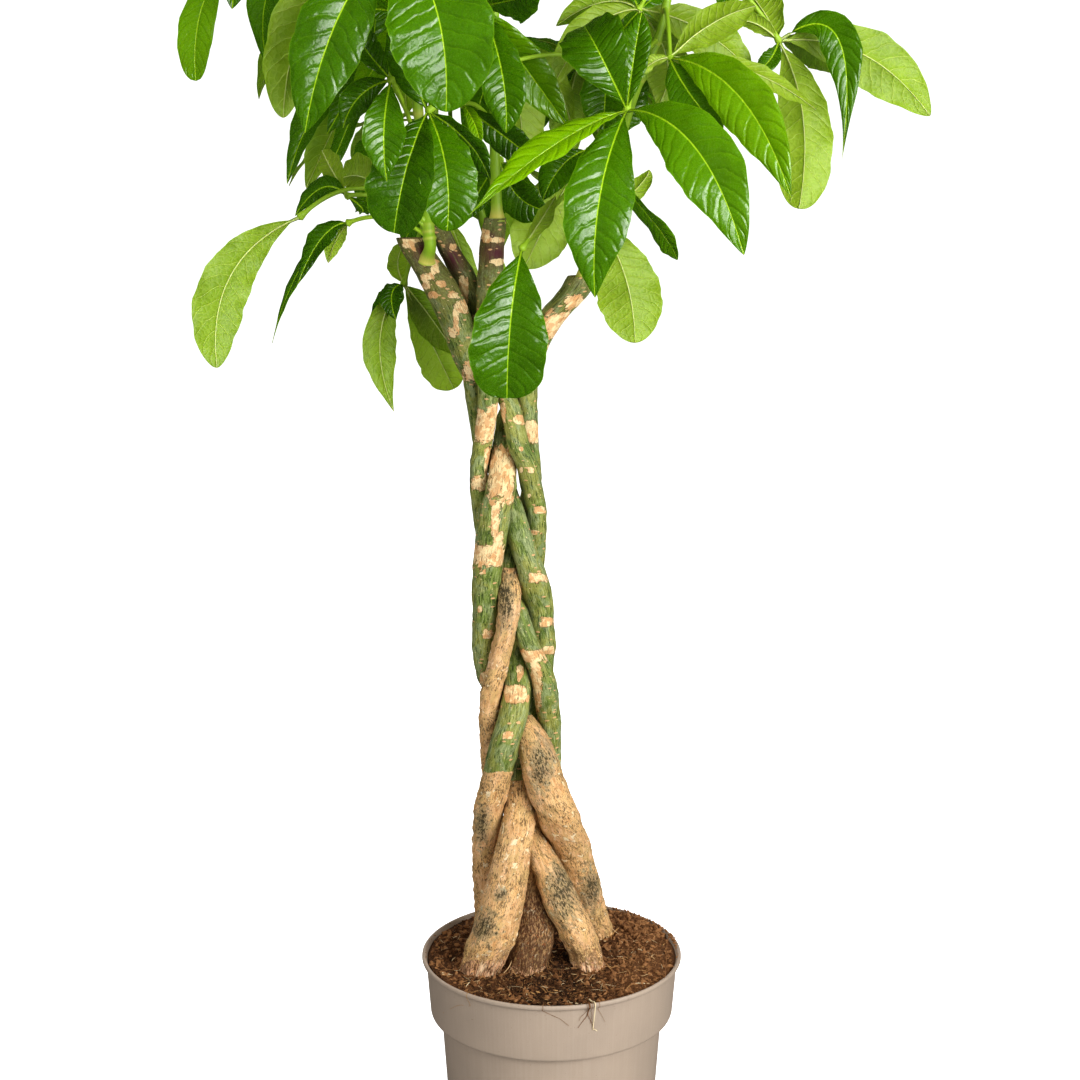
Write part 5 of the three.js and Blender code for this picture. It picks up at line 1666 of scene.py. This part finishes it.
class TreeStudio(bpy.types.PropertyGroup):
    floor: colour_setting("Floor", "Colour of the floor", (0.9, 0.9, 0.9))
    glow: bpy.props.FloatProperty(
        name="Floor glow", description="Light that the floor gives by itself", default=0.8,
        min=0, max=2,
    )
    ambient: bpy.props.FloatProperty(
        name="Surroundings", description="Strength of the light from all round", default=0.35,
        min=0, max=4,
    )
    key: light_setting("Key light", "on the right", 66)
    front: light_setting("Front light", "in front", 50)
    fill: light_setting("Fill light", "on the left", 28)
    back: light_setting("Back light", "behind", 45)
    top: light_setting("Top light", "overhead", 50)


class MONEY_TREE_OT_pot(bpy.types.Operator):
    """Build the plastic nursery pot"""

    bl_idname = "money_tree.pot"
    bl_label = "Pot"

    def execute(self, context):
        settings = context.scene.tree_pot
        make_pot(settings, pot_finish(paints(pot=settings.colour)))
        return {"FINISHED"}


class MONEY_TREE_OT_peat(bpy.types.Operator):
    """Build the peat, its crumbs, straws and rootlets"""

    bl_idname = "money_tree.peat"
    bl_label = "Peat"

    def execute(self, context):
        settings = context.scene.tree_peat
        colours = paints(peat=settings.colour)
        peat = peat_finish(colours)
        make_peat(settings, peat)
        make_crumbs(settings, peat)
        make_straws(settings, straw_finish(colours))
        return {"FINISHED"}


class MONEY_TREE_OT_stems(bpy.types.Operator):
    """Build the five braided woody stems"""

    bl_idname = "money_tree.stems"
    bl_label = "Braided stems"

    def execute(self, context):
        settings = context.scene.tree_stems
        bark = bark_finish(paints(bark_green=settings.colour))
        for number in range(1, STEMS + 1):
            make_stem(number, settings, bark)
        return {"FINISHED"}


class MONEY_TREE_OT_shoots(bpy.types.Operator):
    """Build the leafy shoots"""

    bl_idname = "money_tree.shoots"
    bl_label = "Leafy shoots"

    def execute(self, context):
        settings = context.scene.tree_leaves
        colours = paints(green=settings.colour, under=settings.under)
        finishes = {"leaf": leaf_finish(colours), "stalk": stalk_finish(colours)}
        lines = [curve_of([seen(p) for p in route]) for route, *_ in SHOOT_LINES]
        draw = draws_from(SEED)
        leaves = [front_leaf(row, lines, draw) for row in FRONT_LEAVES]
        for (leaf, leaflet), roll in ROLLED.items():
            leaves[leaf][-1][leaflet].roll = roll
        leaves += [ruled_leaf(row, lines, draw) for row in OTHER_LEAVES]
        for number in range(SHOOTS):
            grown_shoot(number, lines, leaves, settings, finishes)
        return {"FINISHED"}


def area_light(name, place, aim, wide, high, power):
    light = bpy.data.lights.new(name, "AREA")
    light.shape, light.size, light.size_y, light.energy = "RECTANGLE", wide, high, power
    lamp = placed(name, light)
    lamp.location = place
    lamp.rotation_euler = (Vector(aim) - Vector(place)).to_track_quat("-Z", "Y").to_euler()
    return lamp


class MONEY_TREE_OT_studio(bpy.types.Operator):
    """Build the floor, the soft lights, the white surroundings and the camera"""

    bl_idname = "money_tree.studio"
    bl_label = "Studio"

    def execute(self, context):
        settings, scene = context.scene.tree_studio, context.scene
        mesh = bpy.data.meshes.new("floor")
        corners = [(x, y, -0.001) for x, y in ((-6, -6), (6, -6), (6, 6), (-6, 6))]
        mesh.from_pydata(corners, [], [(0, 1, 2, 3)])
        floor = placed("floor", mesh)
        floor.data.materials.append(floor_finish(tuple(settings.floor), settings.glow))
        # the floor looks white without lighting the plant from below
        floor.visible_diffuse = floor.visible_glossy = False
        world = bpy.data.worlds.new("white_surroundings")
        world.use_nodes = True
        tree = Tree(world.node_tree)
        back = next(n for n in tree.nodes if n.type == "BACKGROUND")
        back.inputs["Color"].default_value = (1, 1, 1, 1)
        looked_at = tree.node("ShaderNodeLightPath", output="Is Camera Ray")
        mirrored = tree.node("ShaderNodeLightPath", output="Is Glossy Ray")
        around = settings.ambient * (1 - mirrored * 0.85)
        tree.put(back.inputs["Strength"], around + looked_at * (1 - around))
        scene.world = world
        area_light("key_light", (2.3, -2.1, 1.6), (0, 0, 0.8), 1.2, 1.2, settings.key)
        back = area_light("back_light", (-0.8, 3.0, 1.6), (0, 0, 0.8), 2.0, 1.6, settings.back)
        area_light("front_light", (1.25, -2.75, 1.3), (0, 0, 1.0), 1.3, 1.6, settings.front)
        fill = area_light("fill_light", (-2.2, -2.3, 1.7), (0, 0, 0.8), 1.2, 1.2, settings.fill)
        top = area_light("top_light", (0.2, -0.2, 4.0), (0, 0, 1.0), 1.2, 1.2, settings.top)
        fill.visible_glossy = top.visible_glossy = back.visible_glossy = False
        camera = bpy.data.cameras.new("front_view")
        camera.sensor_width = SENSOR
        camera.lens = SENSOR * EYE_DISTANCE / SHEET
        camera.dof.use_dof = False
        stand = placed("front_view", camera)
        stand.location = EYE * MM
        stand.rotation_euler = (math.pi / 2 - SIGHT_FALL, 0, 0)
        scene.camera = stand
        scene.view_settings.view_transform = "Standard"
        scene.view_settings.look = "Medium High Contrast"
        return {"FINISHED"}


class MONEY_TREE_PT_panel(bpy.types.Panel):
    bl_idname = "MONEY_TREE_PT_panel"
    bl_label = "Money Tree"
    bl_space_type = "VIEW_3D"
    bl_region_type = "UI"
    bl_category = "Money Tree"

    def draw(self, context):
        for group, settings, operators in PIECES:
            box = self.layout.box()
            for prop in settings.__annotations__:
                box.prop(getattr(context.scene, group), prop)
            for operator in operators:
                box.operator(operator.bl_idname)


PIECES = [
    ("tree_studio", TreeStudio, [MONEY_TREE_OT_studio]),
    ("tree_pot", TreePot, [MONEY_TREE_OT_pot]),
    ("tree_peat", TreePeat, [MONEY_TREE_OT_peat]),
    ("tree_stems", TreeStems, [MONEY_TREE_OT_stems]),
    ("tree_leaves", TreeLeaves, [MONEY_TREE_OT_shoots]),
]


def register():
    for group, settings, operators in PIECES:
        bpy.utils.register_class(settings)
        setattr(bpy.types.Scene, group, bpy.props.PointerProperty(type=settings))
        for operator in operators:
            bpy.utils.register_class(operator)
    bpy.utils.register_class(MONEY_TREE_PT_panel)


def unregister():
    bpy.utils.unregister_class(MONEY_TREE_PT_panel)
    for group, settings, operators in reversed(PIECES):
        for operator in reversed(operators):
            bpy.utils.unregister_class(operator)
        delattr(bpy.types.Scene, group)
        bpy.utils.unregister_class(settings)


def main():
    register()
    bpy.ops.money_tree.studio()
    bpy.ops.money_tree.pot()
    bpy.ops.money_tree.peat()
    bpy.ops.money_tree.stems()
    bpy.ops.money_tree.shoots()


if __name__ == "__main__":
    main()
